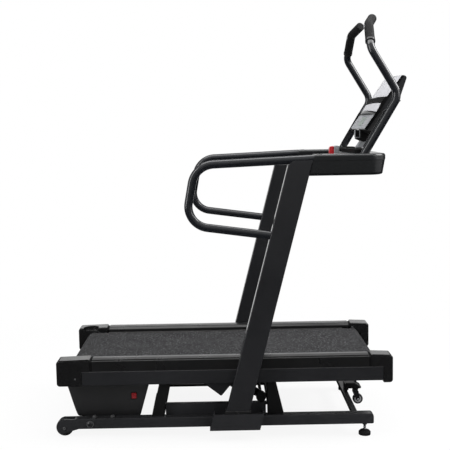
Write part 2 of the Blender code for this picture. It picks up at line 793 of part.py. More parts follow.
def make_tray(machine):
    """Moulded tray: a shell, a lid with a small overhang, a raised bridge, and seats for the tubes."""
    shell = draft_front(slope_rear(prism(tray_outline(TRAY_LIP), "Z", TRAY_BOTTOM, TRAY_SEAM)))
    tray = piece("console_tray", shell, "matte_plastic", machine, edge=0.008, segments=1)
    lid = slope_rear(prism(tray_outline(0), "Z", TRAY_SEAM - 0.001, TRAY_TOP))
    combine(tray, lid, "UNION", machine, 0.005, 1)
    rear = BRIDGE_REAR + 0.008
    front = TRAY_FRONT - 0.020
    bow = rear - BRIDGE_BOW
    bridge = rounded([
        (rear, -BRIDGE_HALF, 0.030), (front, -BRIDGE_HALF, 0.050),
        (front, BRIDGE_HALF, 0.050), (rear, BRIDGE_HALF, 0.030),
        (bow, BRIDGE_FLAT, BRIDGE_ROUND), (bow, -BRIDGE_FLAT, BRIDGE_ROUND),
    ], 4)
    combine(tray, prism(bridge, "Z", TRAY_TOP - 0.004, BRIDGE_TOP), "UNION", machine, 0.004, 1)
    for _, side in SIDES:
        y = side * HANDRAIL_Y
        mouth = tray_rear(TRAY_SEAM) - 0.030
        depth = tray_rear(TRAY_SEAM) + HANDRAIL_TRAY_DEPTH + 0.002
        start = (mouth, y, handrail_top(mouth))
        end = (depth, y, handrail_top(depth))
        combine(tray, round_bar(start, end, HANDRAIL_RADIUS + FIT), "DIFFERENCE", machine)
        seat = round_bar(bar_point(side, -0.002), bar_point(side, 0.090), BAR_RADIUS + FIT)
        combine(tray, seat, "DIFFERENCE", machine)


def slope_rear(mesh):
    for vertex in mesh.verts:
        if vertex.co.x < TRAY_REAR + 0.005:
            vertex.co.x = tray_rear(vertex.co.z)
    return mesh


def draft_front(mesh):
    """The shell's front wall draws back towards its lower edge."""
    start = TRAY_FRONT - TRAY_CORNER
    for vertex in mesh.verts:
        if vertex.co.x > start and vertex.co.z < TRAY_SEAM - TRAY_LIP:
            vertex.co.x -= TRAY_DRAFT * (vertex.co.x - start) / TRAY_CORNER
    return mesh


def bar_point(side, along):
    """A point on the push bar's lower leg."""
    direction = Vector((BAR_ELBOW[0] - BAR_FOOT[0], 0, BAR_ELBOW[1] - BAR_FOOT[1])).normalized()
    return Vector((BAR_FOOT[0], side * BAR_Y, BAR_FOOT[1])) + direction * along


def grip_direction(side):
    start = Vector((BAR_BEND[0], side * BAR_Y, BAR_BEND[1]))
    return (Vector((GRIP_BEND[0], side * GRIP_BEND[1], GRIP_BEND[2])) - start).normalized()


def make_push_bar(machine, name, side):
    """Bent tube from the tray up to the grip, with the console's mounting flange along its lower leg."""
    y = side * BAR_Y
    tip = Vector((BAR_BEND[0], y, BAR_BEND[1])) + grip_direction(side) * (GRIP_START + GRIP_SOCKET - 0.002)
    path = bent([
        (BAR_FOOT[0], y, BAR_FOOT[1], 0),
        (BAR_ELBOW[0], y, BAR_ELBOW[1], BAR_ELBOW[2]),
        (BAR_BEND[0], y, BAR_BEND[1], BAR_BEND[2]),
        (*tip, 0),
    ], 5)
    bar = tube(f"push_bar_{name}", path, BAR_RADIUS, "tube_paint", machine, 4)
    leg = Vector((BAR_ELBOW[0] - BAR_FOOT[0], BAR_ELBOW[1] - BAR_FOOT[1])).normalized()
    rear = Vector((-leg.y, leg.x))
    foot = Vector(BAR_FOOT) + leg * FLANGE_ENDS[0]
    head = Vector(BAR_FOOT) + leg * FLANGE_ENDS[1]
    plate = rounded([
        (*foot, 0), (*head, 0), (*(head + rear * FLANGE_REACH - leg * 0.020), 0.012),
        (*(foot + rear * FLANGE_REACH + leg * 0.0195), 0),
    ])
    inner = BEAM_HALF + GAP
    combine(bar, prism(plate, "Y", *band(side, inner, inner + FLANGE_PLATE)), "UNION", machine)


def make_grip(machine, name, side):
    """Rubber grip that leans in and hooks forward, with a seat for its thumb key."""
    start = Vector((BAR_BEND[0], side * BAR_Y, BAR_BEND[1])) + grip_direction(side) * GRIP_START
    bend = (GRIP_BEND[0], side * GRIP_BEND[1], GRIP_BEND[2])
    end = (GRIP_END[0], side * GRIP_END[1], GRIP_END[2])
    path = bent([(*start, 0), (*bend, 0.070), (*end, 0)], 5)
    grip = tube(f"push_grip_{name}", path, GRIP_RADIUS, "grip_rubber", machine, 4)
    soften(grip, 0.005, 1)
    bake(grip)
    bore = round_bar(start - grip_direction(side) * 0.02, start + grip_direction(side) * GRIP_SOCKET,
                     BAR_RADIUS + FIT)
    combine(grip, bore, "DIFFERENCE", machine)
    face = grip_key_x()
    back = face + GRIP_KEY_THICK
    seat = prism(key_outline(side, FIT), "X", face - 0.02, back + GRIP_KEY_TRAVEL)
    combine(grip, seat, "DIFFERENCE", machine)
    key = prism(key_outline(side, 0), "X", face, back)
    at = (face, *grip_key_centre(side))
    piece(f"grip_key_{name}", key, "caster_grey", machine, at, edge=0.0010, segments=1)


def grip_key_x():
    """The thumb key's face stands a little proud of the grip's rear side."""
    return GRIP_BEND[0] - GRIP_RADIUS - GRIP_KEY_PROUD


def grip_key_centre(side):
    return side * (GRIP_BEND[1] + 0.006), GRIP_BEND[2] - 0.010


def key_outline(side, margin):
    y, z = grip_key_centre(side)
    lean = math.atan2(grip_direction(side).z, grip_direction(side).y)
    along = Vector((math.cos(lean), math.sin(lean))) * GRIP_KEY_HALF
    radius = GRIP_KEY_RADIUS + margin
    return link_outline((y - along.x, z - along.y), radius, (y + along.x, z + along.y), radius, 4)


def face_matrix():
    """From (up the face, across, out of the face) to the machine frame."""
    up = Vector((math.sin(FACE_ANGLE), 0, math.cos(FACE_ANGLE)))
    out = Vector((-math.cos(FACE_ANGLE), 0, math.sin(FACE_ANGLE)))
    matrix = Matrix.Identity(4)
    for row in range(3):
        matrix[row][0] = up[row]
        matrix[row][1] = (0, 1, 0)[row]
        matrix[row][2] = out[row]
        matrix[row][3] = (FACE_FOOT[0], 0, FACE_FOOT[1])[row]
    return matrix


def face_block(span, half, out, corner=0.0):
    """A plate on the console's face: span up it, half its width, and how far out it starts and ends."""
    outline = rounded([
        (span[0], -half, corner), (span[1], -half, corner), (span[1], half, corner), (span[0], half, corner),
    ])
    mesh = prism(outline, "Z", *out)
    bmesh.ops.transform(mesh, matrix=face_matrix(), verts=mesh.verts)
    return mesh


def face_prism(outline, half):
    """An outline of (up the face, out of it) points, drawn across the console."""
    mesh = prism(outline, "Y", -half, half)
    bmesh.ops.transform(mesh, matrix=face_matrix(), verts=mesh.verts)
    return mesh


def face_lip(span, ends, middle, arch):
    """A lip across the face. It stands out further in its middle than at its ends, and may arch upwards."""
    steps = 8
    root = -0.004
    mesh = bmesh.new()
    rings = []
    for step in range(steps + 1):
        y = FACE_HALF * (2 * step / steps - 1)
        bulge = 1 - (y / FACE_HALF) ** 2
        out = ends + (middle - ends) * bulge
        low = span[0] + arch * bulge
        high = span[1] + arch * bulge
        corners = ((low, y, root), (high, y, root), (high, y, out), (low, y, out))
        rings.append([mesh.verts.new(corner) for corner in corners])
    for first, second in zip(rings, rings[1:]):
        for index in range(4):
            onward = (index + 1) % 4
            mesh.faces.new((first[index], first[onward], second[onward], second[index]))
    mesh.faces.new(list(reversed(rings[0])))
    mesh.faces.new(rings[-1])
    bmesh.ops.transform(mesh, matrix=face_matrix(), verts=mesh.verts)
    return mesh


def make_console(machine):
    """A wedge behind the face, a beam from it to the push bars, a neck, a ledge and a shelf."""
    wedge = rounded([
        (0.000, 0.000, 0.004), (FACE_HEIGHT, 0.000, 0.006), (FACE_HEIGHT + 0.004, -HOUSING_TOP, 0.010),
        (0.215, -0.046, 0.030), (0.020, -0.062, 0.020), (-0.046, -0.034, 0.010),
    ])
    housing = piece("console_housing", face_prism(wedge, FACE_HALF), "matte_plastic", machine,
                    edge=0.002, segments=1)
    combine(housing, face_block(BEAM_SPAN, BEAM_HALF, BEAM_DEPTH, 0), "UNION", machine)
    combine(housing, face_lip(LEDGE_SPAN, *LEDGE_OUT, 0), "UNION", machine)
    combine(housing, face_lip(SHELF_SPAN, *SHELF_OUT, SHELF_ARCH), "UNION", machine)
    foot, head = NECK_REAR
    seat = BRIDGE_TOP + GAP
    neck = [(foot, seat), (foot + NECK_DEPTH, seat), (head + NECK_DEPTH, NECK_TOP), (head, NECK_TOP)]
    combine(housing, prism(neck, "Y", -NECK_HALF, NECK_HALF), "UNION", machine)
    for name, span in PANEL_SPANS.items():
        plate = face_block(span, FACE_HALF, (GAP, PANEL_PLATE), 0.008)
        look = "silver_plastic" if name == "console_panel" else "white_panel"
        piece(name, plate, look, machine, edge=0.0012, segments=1)


def make_safety_key(machine):
    """Silver socket on the tray bridge, and the red key that pulls out of it towards the runner."""
    low, high = KEY_Z
    body = rounded([
        (KEY_SOCKET_X[0], low, 0.004), (KEY_SOCKET_X[1], low, 0), (KEY_SOCKET_X[1], high, 0.004),
        (KEY_SOCKET_X[0], high + 0.002, 0.010),
    ])
    body_mesh = prism(body, "Y", -KEY_SOCKET_HALF, KEY_SOCKET_HALF)
    socket = piece("key_socket", body_mesh, "silver_plastic", machine, edge=0.002)
    middle = (low + high) / 2
    combine(socket, key_tongue(KEY_SOCKET_X[0] - 0.010, KEY_SOCKET_X[0] + 0.013, FIT), "DIFFERENCE", machine)
    at = (KEY_X[0], 0, middle)
    outline = rounded([
        (KEY_X[0], low + 0.003, 0.006), (KEY_X[1], low + 0.001, 0.003), (KEY_X[1], high - 0.001, 0.003),
        (KEY_X[0], high - 0.003, 0.012),
    ])
    key = piece("safety_key", prism(outline, "Y", -KEY_HALF, KEY_HALF), "key_red", machine, at, edge=0.002)
    combine(key, key_tongue(KEY_X[1] - 0.004, KEY_SOCKET_X[0] + 0.011, 0), "UNION", machine)


def key_tongue(rear, front, margin):
    """The blade behind the key, or with a margin the slot it goes into."""
    half_y = TONGUE[0] / 2 + margin
    half_z = TONGUE[1] / 2 + margin
    middle = (KEY_Z[0] + KEY_Z[1]) / 2
    return block((rear, front), (-half_y, half_y), (middle - half_z, middle + half_z))


def make_deck_side(machine, name, side):
    """Side member: a deep web, a shelf inside it that carries the board, and a gusset below it."""
    web = block((-SIDE_END, SIDE_END), band(side, SIDE_IN, RAIL_OUT), (SIDE_BOTTOM, SIDE_TOP))
    member = piece(f"deck_side_{name}", web, "frame_paint", machine, edge=0.003)
    length = (FOOT_RAIL_ENDS[0] + 0.002, FOOT_RAIL_ENDS[1] - 0.002)
    shelf = block(length, band(side, SHELF_IN, SIDE_IN + 0.002), (POST_TOP + GAP, SHELF_TOP))
    combine(member, shelf, "UNION", machine)
    root = SIDE_BOTTOM + 0.010
    gusset = rounded([(GUSSET_ENDS[0], root, 0), (*GUSSET_TIP, 0.006), (GUSSET_ENDS[1], root, 0)])
    combine(member, prism(gusset, "Y", *band(side, *GUSSET_Y)), "UNION", machine)
    depth = band(side, SIDE_IN - 0.01, RAIL_OUT - 0.0055)
    combine(member, rod((PIVOT[0], 0, PIVOT[1]), PIVOT_PIN + FIT, "Y", *depth), "DIFFERENCE", machine)


def rail_section(side):
    """Foot rail cross-section: upright outer wall, crowned tread, and a short inner skirt."""
    outer = RAIL_OUT
    inner = RAIL_INNER
    skirt = BOARD_TOP + 0.0008
    points = rounded([
        (outer, SIDE_TOP + GAP, 0), (outer, 0.3515, 0.008), (0.352, RAIL_CREST, 0.030),
        (0.306, RAIL_CREST - 0.002, 0.030), (inner, 0.3545, 0.006), (inner, skirt, 0),
        (SIDE_IN + 0.0025, skirt, 0), (SIDE_IN + 0.0025, SIDE_TOP + GAP, 0),
    ])
    return [(side * y, z) for y, z in points]


def make_foot_rail(machine, name, side):
    piece(f"foot_rail_{name}", prism(rail_section(side), "X", *FOOT_RAIL_ENDS), "rail_plastic", machine)


def make_cap(machine, name, side, bottom, far, lower, near, roller_x):
    """End cap: far is its outer end, near its seam with the foot rail, and lower its seam with the web."""
    outline = rounded([
        (far, bottom, CAP_ROUND), (near, bottom, 0), (near, CAP_TOP, 0), (far, CAP_TOP - 0.004, CAP_ROUND),
    ])
    mesh = prism(outline, "Y", *band(side, RAIL_INNER, CAP_OUT))
    cap = piece(name, mesh, "matte_plastic", machine, edge=0.005, segments=1)
    beyond = near + math.copysign(0.02, near - far)
    notch = block(sorted((lower, beyond)), band(side, RAIL_INNER - 0.02, CAP_OUT + 0.02),
                  (bottom - 0.02, SIDE_TOP + GAP))
    combine(cap, notch, "DIFFERENCE", machine)
    pocket = rod((roller_x, 0, roller_z()), AXLE_RADIUS + 0.0004, "Y",
                 *band(side, RAIL_INNER - 0.01, AXLE_HALF + 0.001))
    return combine(cap, pocket, "DIFFERENCE", machine)


def make_caps(machine, name, side):
    """The left rear cap has a round scoop in its inner top edge."""
    rear = make_cap(machine, f"rear_cap_{name}", side, CAP_BOTTOM, *REAR_CAP, ROLLER_REAR)
    if name == "left":
        at = (SCOOP_X, side * (RAIL_INNER + 0.010), 0)
        combine(rear, rod(at, SCOOP_RADIUS, "Z", SCOOP_FLOOR, CAP_TOP + 0.02, 24), "DIFFERENCE", machine)
    make_cap(machine, f"front_cap_{name}", side, FRONT_CAP_BOTTOM, *FRONT_CAP, ROLLER_FRONT)


def roller_z():
    return BELT_TOP - BELT_THICK - GAP - ROLLER_RADIUS


def make_loop(name, ends, radii, thick, y, finish_name, machine, steps):
    """A flat belt round two rollers: outer skin less inner skin."""
    outer = link_outline(ends[0], radii[0] + thick, ends[1], radii[1] + thick, steps)
    inner = link_outline(ends[0], radii[0], ends[1], radii[1], steps)
    loop = piece(name, prism(outer, "Y", *y), finish_name, machine)
    combine(loop, prism(inner, "Y", y[0] - 0.01, y[1] + 0.01), "DIFFERENCE", machine)


def make_running_surface(machine):
    rear = (ROLLER_REAR, roller_z())
    front = (ROLLER_FRONT, roller_z())
    board = block(BOARD_ENDS, (-BOARD_HALF, BOARD_HALF), (BOARD_BOTTOM, BOARD_TOP))
    piece("running_deck", board, "board_wood", machine, edge=0.002, segments=1)
    inner = ROLLER_RADIUS + GAP
    width = (-BELT_HALF, BELT_HALF)
    make_loop("running_belt", (rear, front), (inner, inner), BELT_THICK, width, "belt_fabric", machine, 12)
    for name, place in (("drive_axle", rear), ("idler_axle", front)):
        axle = rod((place[0], 0, place[1]), AXLE_RADIUS, "Y", -AXLE_HALF, AXLE_HALF, 16)
        piece(name, axle, "steel", machine)
    bore = AXLE_RADIUS + GAP
    crowned = [(bore, -ROLLER_HALF), (0.026, -ROLLER_HALF), (ROLLER_RADIUS, -ROLLER_HALF + 0.004),
               (ROLLER_RADIUS, ROLLER_HALF - 0.004), (0.026, ROLLER_HALF)]
    pulley = [(0.014, ROLLER_HALF), (0.014, PULLEY_Y[0]), (ROLLER_PULLEY, PULLEY_Y[0]),
              (ROLLER_PULLEY, PULLEY_Y[1]), (bore, PULLEY_Y[1])]
    at = (rear[0], 0, rear[1])
    piece("drive_roller", turned(crowned + pulley, "Y", at, 20, bored=True), "steel", machine, at)
    at = (front[0], 0, front[1])
    idler = turned(crowned + [(bore, ROLLER_HALF)], "Y", at, 20, bored=True)
    piece("idler_roller", idler, "steel", machine, at)


def make_deck_frame(machine):
    """Cross members and two beams under the belt, with the lugs that carry the lift and its actuator."""
    half = SIDE_IN - GAP
    crossings = (MOTOR[0], ACTUATOR_HINGE[0] - 0.012, LIFT_HINGE[0], 0.535)
    ends = (crossings[0] - 0.020, crossings[-1] + 0.020)
    inner = FRAME_BEAM_Y - FRAME_BEAM / 2
    outer = FRAME_BEAM_Y + FRAME_BEAM / 2
    right = block(ends, (-outer, -inner), (FRAME_BOTTOM, FRAME_TOP))
    frame = piece("deck_subframe", right, "frame_paint", machine)
    for x in crossings:
        cross = block((x - 0.018, x + 0.018), (-half, half), (FRAME_BOTTOM + 0.0002, FRAME_TOP - 0.0002))
        combine(frame, cross, "UNION", machine)
    combine(frame, block(ends, (inner, outer), (FRAME_BOTTOM, FRAME_TOP)), "UNION", machine)
    top = FRAME_BOTTOM + 0.010
    for hinge, radius, lugs, pin in (
        (LIFT_HINGE, 0.018, LIFT_LUGS, LIFT_STUB),
        (ACTUATOR_HINGE, 0.015, ACTUATOR_LUGS, ACTUATOR_STUB),
    ):
        outline = arc(hinge, radius, 180, 360, 6) + [(hinge[0] + radius, top), (hinge[0] - radius, top)]
        for _, side in SIDES:
            combine(frame, prism(outline, "Y", *band(side, *lugs)), "UNION", machine)
        hole = rod((hinge[0], 0, hinge[1]), pin + FIT, "Y", -half, half, 12)
        combine(frame, hole, "DIFFERENCE", machine)


def make_drive(machine):
    """Motor hung from the subframe, its shaft with fan and pulley, and the belt up to the rear roller."""
    centre = (MOTOR[0], 0, MOTOR[1])
    bore = SHAFT_RADIUS + 0.0008
    case = [(bore, -MOTOR_HALF), (0.040, -MOTOR_HALF), (MOTOR_RADIUS, -MOTOR_HALF + 0.010),
            (MOTOR_RADIUS, MOTOR_HALF - 0.010), (0.040, MOTOR_HALF), (bore, MOTOR_HALF)]
    motor = piece("drive_motor", turned(case, "Y", centre, 20, bored=True), "motor_shell", machine)
    saddle = block((MOTOR[0] - 0.030, MOTOR[0] + 0.030), (-0.060, 0.060),
                   (MOTOR[1] + 0.030, FRAME_BOTTOM - GAP))
    combine(motor, saddle, "UNION", machine)
    shaft = [
        (0, FAN_Y[0] - 0.010), (SHAFT_RADIUS, FAN_Y[0] - 0.010), (SHAFT_RADIUS, FAN_Y[0]),
        (FAN_RADIUS, FAN_Y[0]), (FAN_RADIUS, FAN_Y[1]), (SHAFT_RADIUS, FAN_Y[1]), (SHAFT_RADIUS, PULLEY_Y[0]),
        (MOTOR_PULLEY, PULLEY_Y[0]), (MOTOR_PULLEY, PULLEY_Y[1]), (0, PULLEY_Y[1]),
    ]
    piece("motor_rotor", turned(shaft, "Y", centre, 16), "steel", machine, centre)
    ends = ((ROLLER_REAR, roller_z()), MOTOR)
    radii = (ROLLER_PULLEY + GAP, MOTOR_PULLEY + GAP)
    make_loop("drive_belt", ends, radii, BELT_THICK, DRIVE_BELT_Y, "wheel_rubber", machine, 8)


def cover_outline(inset):
    """Side view of the motor cover: tapered, with rounded lower corners."""
    return rounded([
        (COVER_REAR[0] + inset, COVER_TOP, 0),
        (COVER_REAR[1] + inset, COVER_BOTTOM[0] + inset, COVER_CORNER),
        (COVER_FRONT[1] - inset, COVER_BOTTOM[1] + inset, COVER_CORNER),
        (COVER_FRONT[0] - inset, COVER_TOP, 0),
    ], 4)


def make_motor_cover(machine):
    """Open-topped moulded cover under the rear of the deck, with a window for the mains switch."""
    body = prism(cover_outline(0), "Y", -COVER_HALF, COVER_HALF)
    cover = piece("motor_cover", body, "matte_plastic", machine, edge=0.008)
    inside = cover_outline(COVER_WALL)
    inside = [(inside[0][0], COVER_TOP + 0.02)] + inside + [(inside[-1][0], COVER_TOP + 0.02)]
    inner_half = COVER_HALF - COVER_WALL
    combine(cover, prism(inside, "Y", -inner_half, inner_half), "DIFFERENCE", machine)
    half_x = SWITCH_SIZE[0] / 2
    half_z = SWITCH_SIZE[1] / 2
    window = block((SWITCH[0] - half_x - GAP, SWITCH[0] + half_x + GAP),
                   (-COVER_HALF - 0.01, -COVER_HALF + 0.01),
                   (SWITCH[1] - half_z - GAP, SWITCH[1] + half_z + GAP))
    combine(cover, window, "DIFFERENCE", machine)
    at = (SWITCH[0], -COVER_HALF + 0.004, SWITCH[1])
    rocker = [(0.0, -0.0115), (-0.0085, -0.0125), (-0.0055, 0.0), (-0.0045, 0.0125), (0.0, 0.0115)]
    outline = [(at[1] + y, at[2] + z) for y, z in rocker]
    piece("power_switch", prism(outline, "X", SWITCH[0] - half_x, SWITCH[0] + half_x), "key_red", machine, at)


def make_lift(machine):
    """Lift frame hinged under the deck, with a roller that runs on the inner rails as the deck tips up."""
    at = (LIFT_HINGE[0], 0, LIFT_HINGE[1])
    reach = LIFT_LUGS[0] - 0.001
    end = LIFT_LUGS[1] + 0.0035
    profile = [(0, -end), (LIFT_STUB, -end), (LIFT_STUB, -reach), (LIFT_TUBE, -reach), (LIFT_TUBE, reach),
               (LIFT_STUB, reach), (LIFT_STUB, end), (0, end)]
    frame = piece("lift_frame", turned(profile, "Y", at, 14), "frame_paint", machine, at)
    arm = link_outline(LIFT_HINGE, 0.024, LIFT_ROLLER, 0.018)
    lever = link_outline(LIFT_HINGE, 0.025, LEVER_PIN, 0.015)
    for _, side in SIDES:
        combine(frame, prism(arm, "Y", *band(side, *LIFT_ARM_Y)), "UNION", machine)
        combine(frame, prism(lever, "Y", *band(side, *LIFT_LEVER_Y)), "UNION", machine)
    pin_half = LIFT_LEVER_Y[0] + 0.004
    pin = rod((LEVER_PIN[0], 0, LEVER_PIN[1]), PIN_RADIUS, "Y", -pin_half, pin_half, 12)
    combine(frame, pin, "UNION", machine)
    roller_at = (LIFT_ROLLER[0], 0, LIFT_ROLLER[1])
    combine(frame, rod(roller_at, SPINDLE + FIT, "Y", -TRACK_OUT, TRACK_OUT, 12), "DIFFERENCE", machine)
    outer = TRACK_OUT - 0.001
    inner = TRACK_IN + 0.001
    tip = outer + 0.004
    half = [(SPINDLE, inner), (LIFT_ROLLER_RADIUS, inner), (LIFT_ROLLER_RADIUS, outer), (SPINDLE, outer),
            (SPINDLE, tip), (0, tip)]
    roller = [(radius, -along) for radius, along in reversed(half)] + half
    piece("lift_roller", turned(roller, "Y", roller_at, 16), "caster_grey", machine, roller_at)


def actuator_matrix():
    """From (along the actuator, across, up from it) to the machine frame."""
    along = Vector((LEVER_PIN[0] - ACTUATOR_HINGE[0], 0, LEVER_PIN[1] - ACTUATOR_HINGE[1])).normalized()
    up = Vector((-along.z, 0, along.x))
    matrix = Matrix.Identity(4)
    for row in range(3):
        matrix[row][0] = along[row]
        matrix[row][1] = (0, 1, 0)[row]
        matrix[row][2] = up[row]
        matrix[row][3] = (ACTUATOR_HINGE[0], 0, ACTUATOR_HINGE[1])[row]
    return matrix


def along_actuator(mesh):
    bmesh.ops.transform(mesh, matrix=actuator_matrix(), verts=mesh.verts)
    return mesh


def make_actuator(machine):
    """Electric screw actuator between the deck and the lift frame's lever."""
    at = (ACTUATOR_HINGE[0], 0, ACTUATOR_HINGE[1])
    reach = ACTUATOR_LUGS[0] - GAP
    end = ACTUATOR_LUGS[1] - GAP
    eye = [(0, -end), (ACTUATOR_STUB, -end), (ACTUATOR_STUB, -reach), (0.016, -reach), (0.016, reach),
           (ACTUATOR_STUB, reach), (ACTUATOR_STUB, end), (0, end)]
    body = piece("incline_actuator", turned(eye, "Y", at, 18), "motor_shell", machine, at)
    tang = along_actuator(block((0.0, ACTUATOR_BODY[0] + 0.004), (-0.012, 0.012), (-0.013, 0.013)))
    combine(body, tang, "UNION", machine)
    case = block(ACTUATOR_BODY, (-ACTUATOR_HALF, ACTUATOR_HALF), (ACTUATOR_LOW, ACTUATOR_HIGH))
    combine(body, along_actuator(case), "UNION", machine, 0.006)
    bore = rod((0, 0, 0), ROD_RADIUS + FIT, "X", ACTUATOR_BODY[0] + 0.012, ACTUATOR_BODY[1] + 0.02)
    combine(body, along_actuator(bore), "DIFFERENCE", machine)
    rod_end = math.dist(ACTUATOR_HINGE, LEVER_PIN) - 0.012
    rod_mesh = along_actuator(rod((0, 0, 0), ROD_RADIUS, "X", ROD_START, rod_end))
    rod_at = (LEVER_PIN[0], 0, LEVER_PIN[1])
    screw = piece("actuator_rod", rod_mesh, "steel", machine, rod_at)
    combine(screw, rod(rod_at, ROD_EYE, "Y", -ROD_EYE, ROD_EYE), "UNION", machine)
    combine(screw, rod(rod_at, PIN_RADIUS + PIN_PLAY, "Y", -0.03, 0.03, 14), "DIFFERENCE", machine)


def main():
    clear_scene()
    machine = add_empty("machine_frame")
    machine.location = (FRAME_SHIFT, 0, 0)
    machine.rotation_euler = (0, -TILT, 0)
    for name, side in SIDES:
        make_base_rail(machine, name, side)
        make_wheel(machine, name, side)
        make_foot(name, side)
        make_posts(machine, name, side)
        make_upright(machine, name, side)
        make_handrail(machine, name, side)
        make_push_bar(machine, name, side)
        make_grip(machine, name, side)
        make_deck_side(machine, name, side)
        make_foot_rail(machine, name, side)
        make_caps(machine, name, side)
    make_cross_tubes(machine)
    make_tracks(machine)
    make_caster(machine)
    make_tray(machine)
    make_console(machine)
    make_safety_key(machine)
    make_running_surface(machine)
    make_deck_frame(machine)
    make_drive(machine)
    make_motor_cover(machine)
    make_lift(machine)
    make_actuator(machine)


main()
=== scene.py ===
"""Looks of the incline treadmill: smooth tubes and mouldings, fasteners, finishes, light and camera.

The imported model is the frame. Pieces are drawn in the machine's own frame, which is level with the base
rails, and then tipped front-up by TILT and set in place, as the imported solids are. Units are metres, +X is
the front and -Y is the runner's right.
"""

import math

import bmesh
import bpy
from mathutils import Matrix, Vector


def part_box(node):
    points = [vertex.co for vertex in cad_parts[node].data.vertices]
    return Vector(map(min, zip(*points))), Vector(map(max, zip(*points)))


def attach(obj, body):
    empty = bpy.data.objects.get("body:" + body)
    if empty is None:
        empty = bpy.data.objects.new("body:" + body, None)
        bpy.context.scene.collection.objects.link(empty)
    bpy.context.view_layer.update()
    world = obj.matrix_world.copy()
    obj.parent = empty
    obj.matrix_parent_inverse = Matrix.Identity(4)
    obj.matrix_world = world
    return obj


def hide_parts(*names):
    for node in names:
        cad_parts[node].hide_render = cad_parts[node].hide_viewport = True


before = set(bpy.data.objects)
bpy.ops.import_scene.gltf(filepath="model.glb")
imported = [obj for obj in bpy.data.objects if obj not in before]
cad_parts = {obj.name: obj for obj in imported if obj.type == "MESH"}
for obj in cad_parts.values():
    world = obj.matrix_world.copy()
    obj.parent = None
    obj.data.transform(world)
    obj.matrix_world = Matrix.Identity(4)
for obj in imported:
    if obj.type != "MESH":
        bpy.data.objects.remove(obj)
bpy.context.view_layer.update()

SIDES = (("right", -1), ("left", 1))
TILT = math.radians(1.0)
SHIFT = 0.01138
MACHINE = Matrix.Translation((SHIFT, 0, 0)) @ Matrix.Rotation(-TILT, 4, "Y")
GAP = 0.0005
CLEAR = 0.02

# Base frame
RAIL_IN = 0.325
RAIL_OUT = 0.375
RAIL_BOTTOM = 0.047
RAIL_TOP = 0.094
WHEEL_X = -0.768
WHEEL_RADIUS = 0.039
WHEEL_Z = (WHEEL_RADIUS - WHEEL_X * math.sin(TILT)) / math.cos(TILT)
WHEEL_HALF = 0.013
WHEEL_BORE = 0.0056
FOOT_X = 0.600
FOOT_Y = 0.350
FOOT_RADIUS = 0.0275
FOOT_STEM = 0.006
FOOT_THREAD = 0.0006
FOOT_PITCH = 0.00125
CASTER_AXLE = (0.621, 0.049)
CASTER_RADIUS = 0.025
CASTER_HALF = 0.0125
CASTER_BORE = 0.0046
CASTER_CHEEK = 0.0185
RAIL_BOLT = (-0.650, 0.069)
TOP_BOLTS = (-0.632, -0.550)

# Uprights and their sockets
LEAN = 0.261
UPRIGHT_BOTTOM = 0.055
UPRIGHT_REAR = -0.0515
UPRIGHT_DEPTH = 0.104
UPRIGHT_IN = 0.381
UPRIGHT_OUT = 0.4305
UPRIGHT_ROUND = 0.006
CHEEK = 0.015
COLLAR = (0.1228, 0.136)
COLLAR_LIP = 0.006
SOCKET_OUT = 0.436

# Handrails
HANDRAIL_RADIUS = 0.0185
HANDRAIL_Y = 0.410
HANDRAIL_TOP = (1.240, 0.038)
HANDRAIL_LOW = (0.9455, -0.140)
HANDRAIL_UPPER_BEND = (-0.150, 0.100)
HANDRAIL_LOWER_BEND = (-0.199, 0.095)

# Console tray
TRAY_IN = 0.330
TRAY_OUT = 0.430
TRAY_BOTTOM = 1.180
TRAY_SEAM = 1.246
TRAY_TOP = 1.2725
TRAY_REAR = 0.350
TRAY_FRONT = 0.691
TRAY_CORNER = 0.085
TRAY_LIP = 0.0015
TRAY_LID_ROUND = 0.011
TRAY_FOOT_ROUND = 0.012
TRAY_DRAFT = 0.010
BRIDGE_REAR = 0.560
BRIDGE_BOW = 0.029
BRIDGE_TOP = 1.288
BRIDGE_HALF = 0.300
BRIDGE_FLAT = 0.080
BRIDGE_ROUND = 0.200

# Push bars
BAR_RADIUS = 0.0175
BAR_Y = 0.370
BAR_FOOT = (0.574, 1.235)
BAR_ELBOW = (0.747, 1.525, 0.060)
BAR_BEND = (0.624, 1.728, 0.050)
GRIP_RADIUS = 0.0210
GRIP_BEND = (0.632, 0.262, 1.842)
GRIP_END = (0.664, 0.165, 1.878)
GRIP_START = 0.040
GRIP_SOCKET = 0.030
FLANGE_PLATE = 0.0055
FLANGE_REACH = 0.0205
FLANGE_ENDS = (0.050, 0.272)

# Console face
FACE_FOOT = (0.624, 1.377)
FACE_ANGLE = math.radians(35.4)
FACE_HEIGHT = 0.298
FACE_HALF = 0.216
HOUSING = (
    (0.000, 0.000, 0.004), (FACE_HEIGHT, 0.000, 0.006), (FACE_HEIGHT + 0.004, -0.0202, 0.010),
    (0.215, -0.046, 0.030), (0.020, -0.062, 0.020), (0.004, -0.050, 0.008),
)
BRACKET = (
    (0.6345, 1.376, 0), (0.6345, 1.3345, 0), (0.611, 1.3345, 0), (0.617, 1.328, 0.003),
    (0.647, 1.316, 0.006), (0.662, 1.320, 0.006), (0.712, 1.385, 0), (0.680, 1.410, 0),
)
BRACKET_HALF = 0.030
NECK = ((0.611, BRIDGE_TOP + GAP), (0.653, BRIDGE_TOP + GAP), (0.687, 1.338), (0.646, 1.338))
NECK_HALF = 0.022
BEAM_SPAN = (0.000, 0.110)
BEAM_DEPTH = (-0.040, -0.010)
BEAM_HALF = 0.3518
PANEL_PLATE = 0.004
CONTROL_SPAN = (0.001, 0.080)
DISPLAY_SPAN = (0.0955, 0.1385)
TABLET_SPAN = (0.175, 0.294)
TROUGH_X = (0.608, 0.634)
TROUGH_Z = (1.335, 1.3735)
TROUGH_WALL = 0.0042
TROUGH_HALF = 0.009
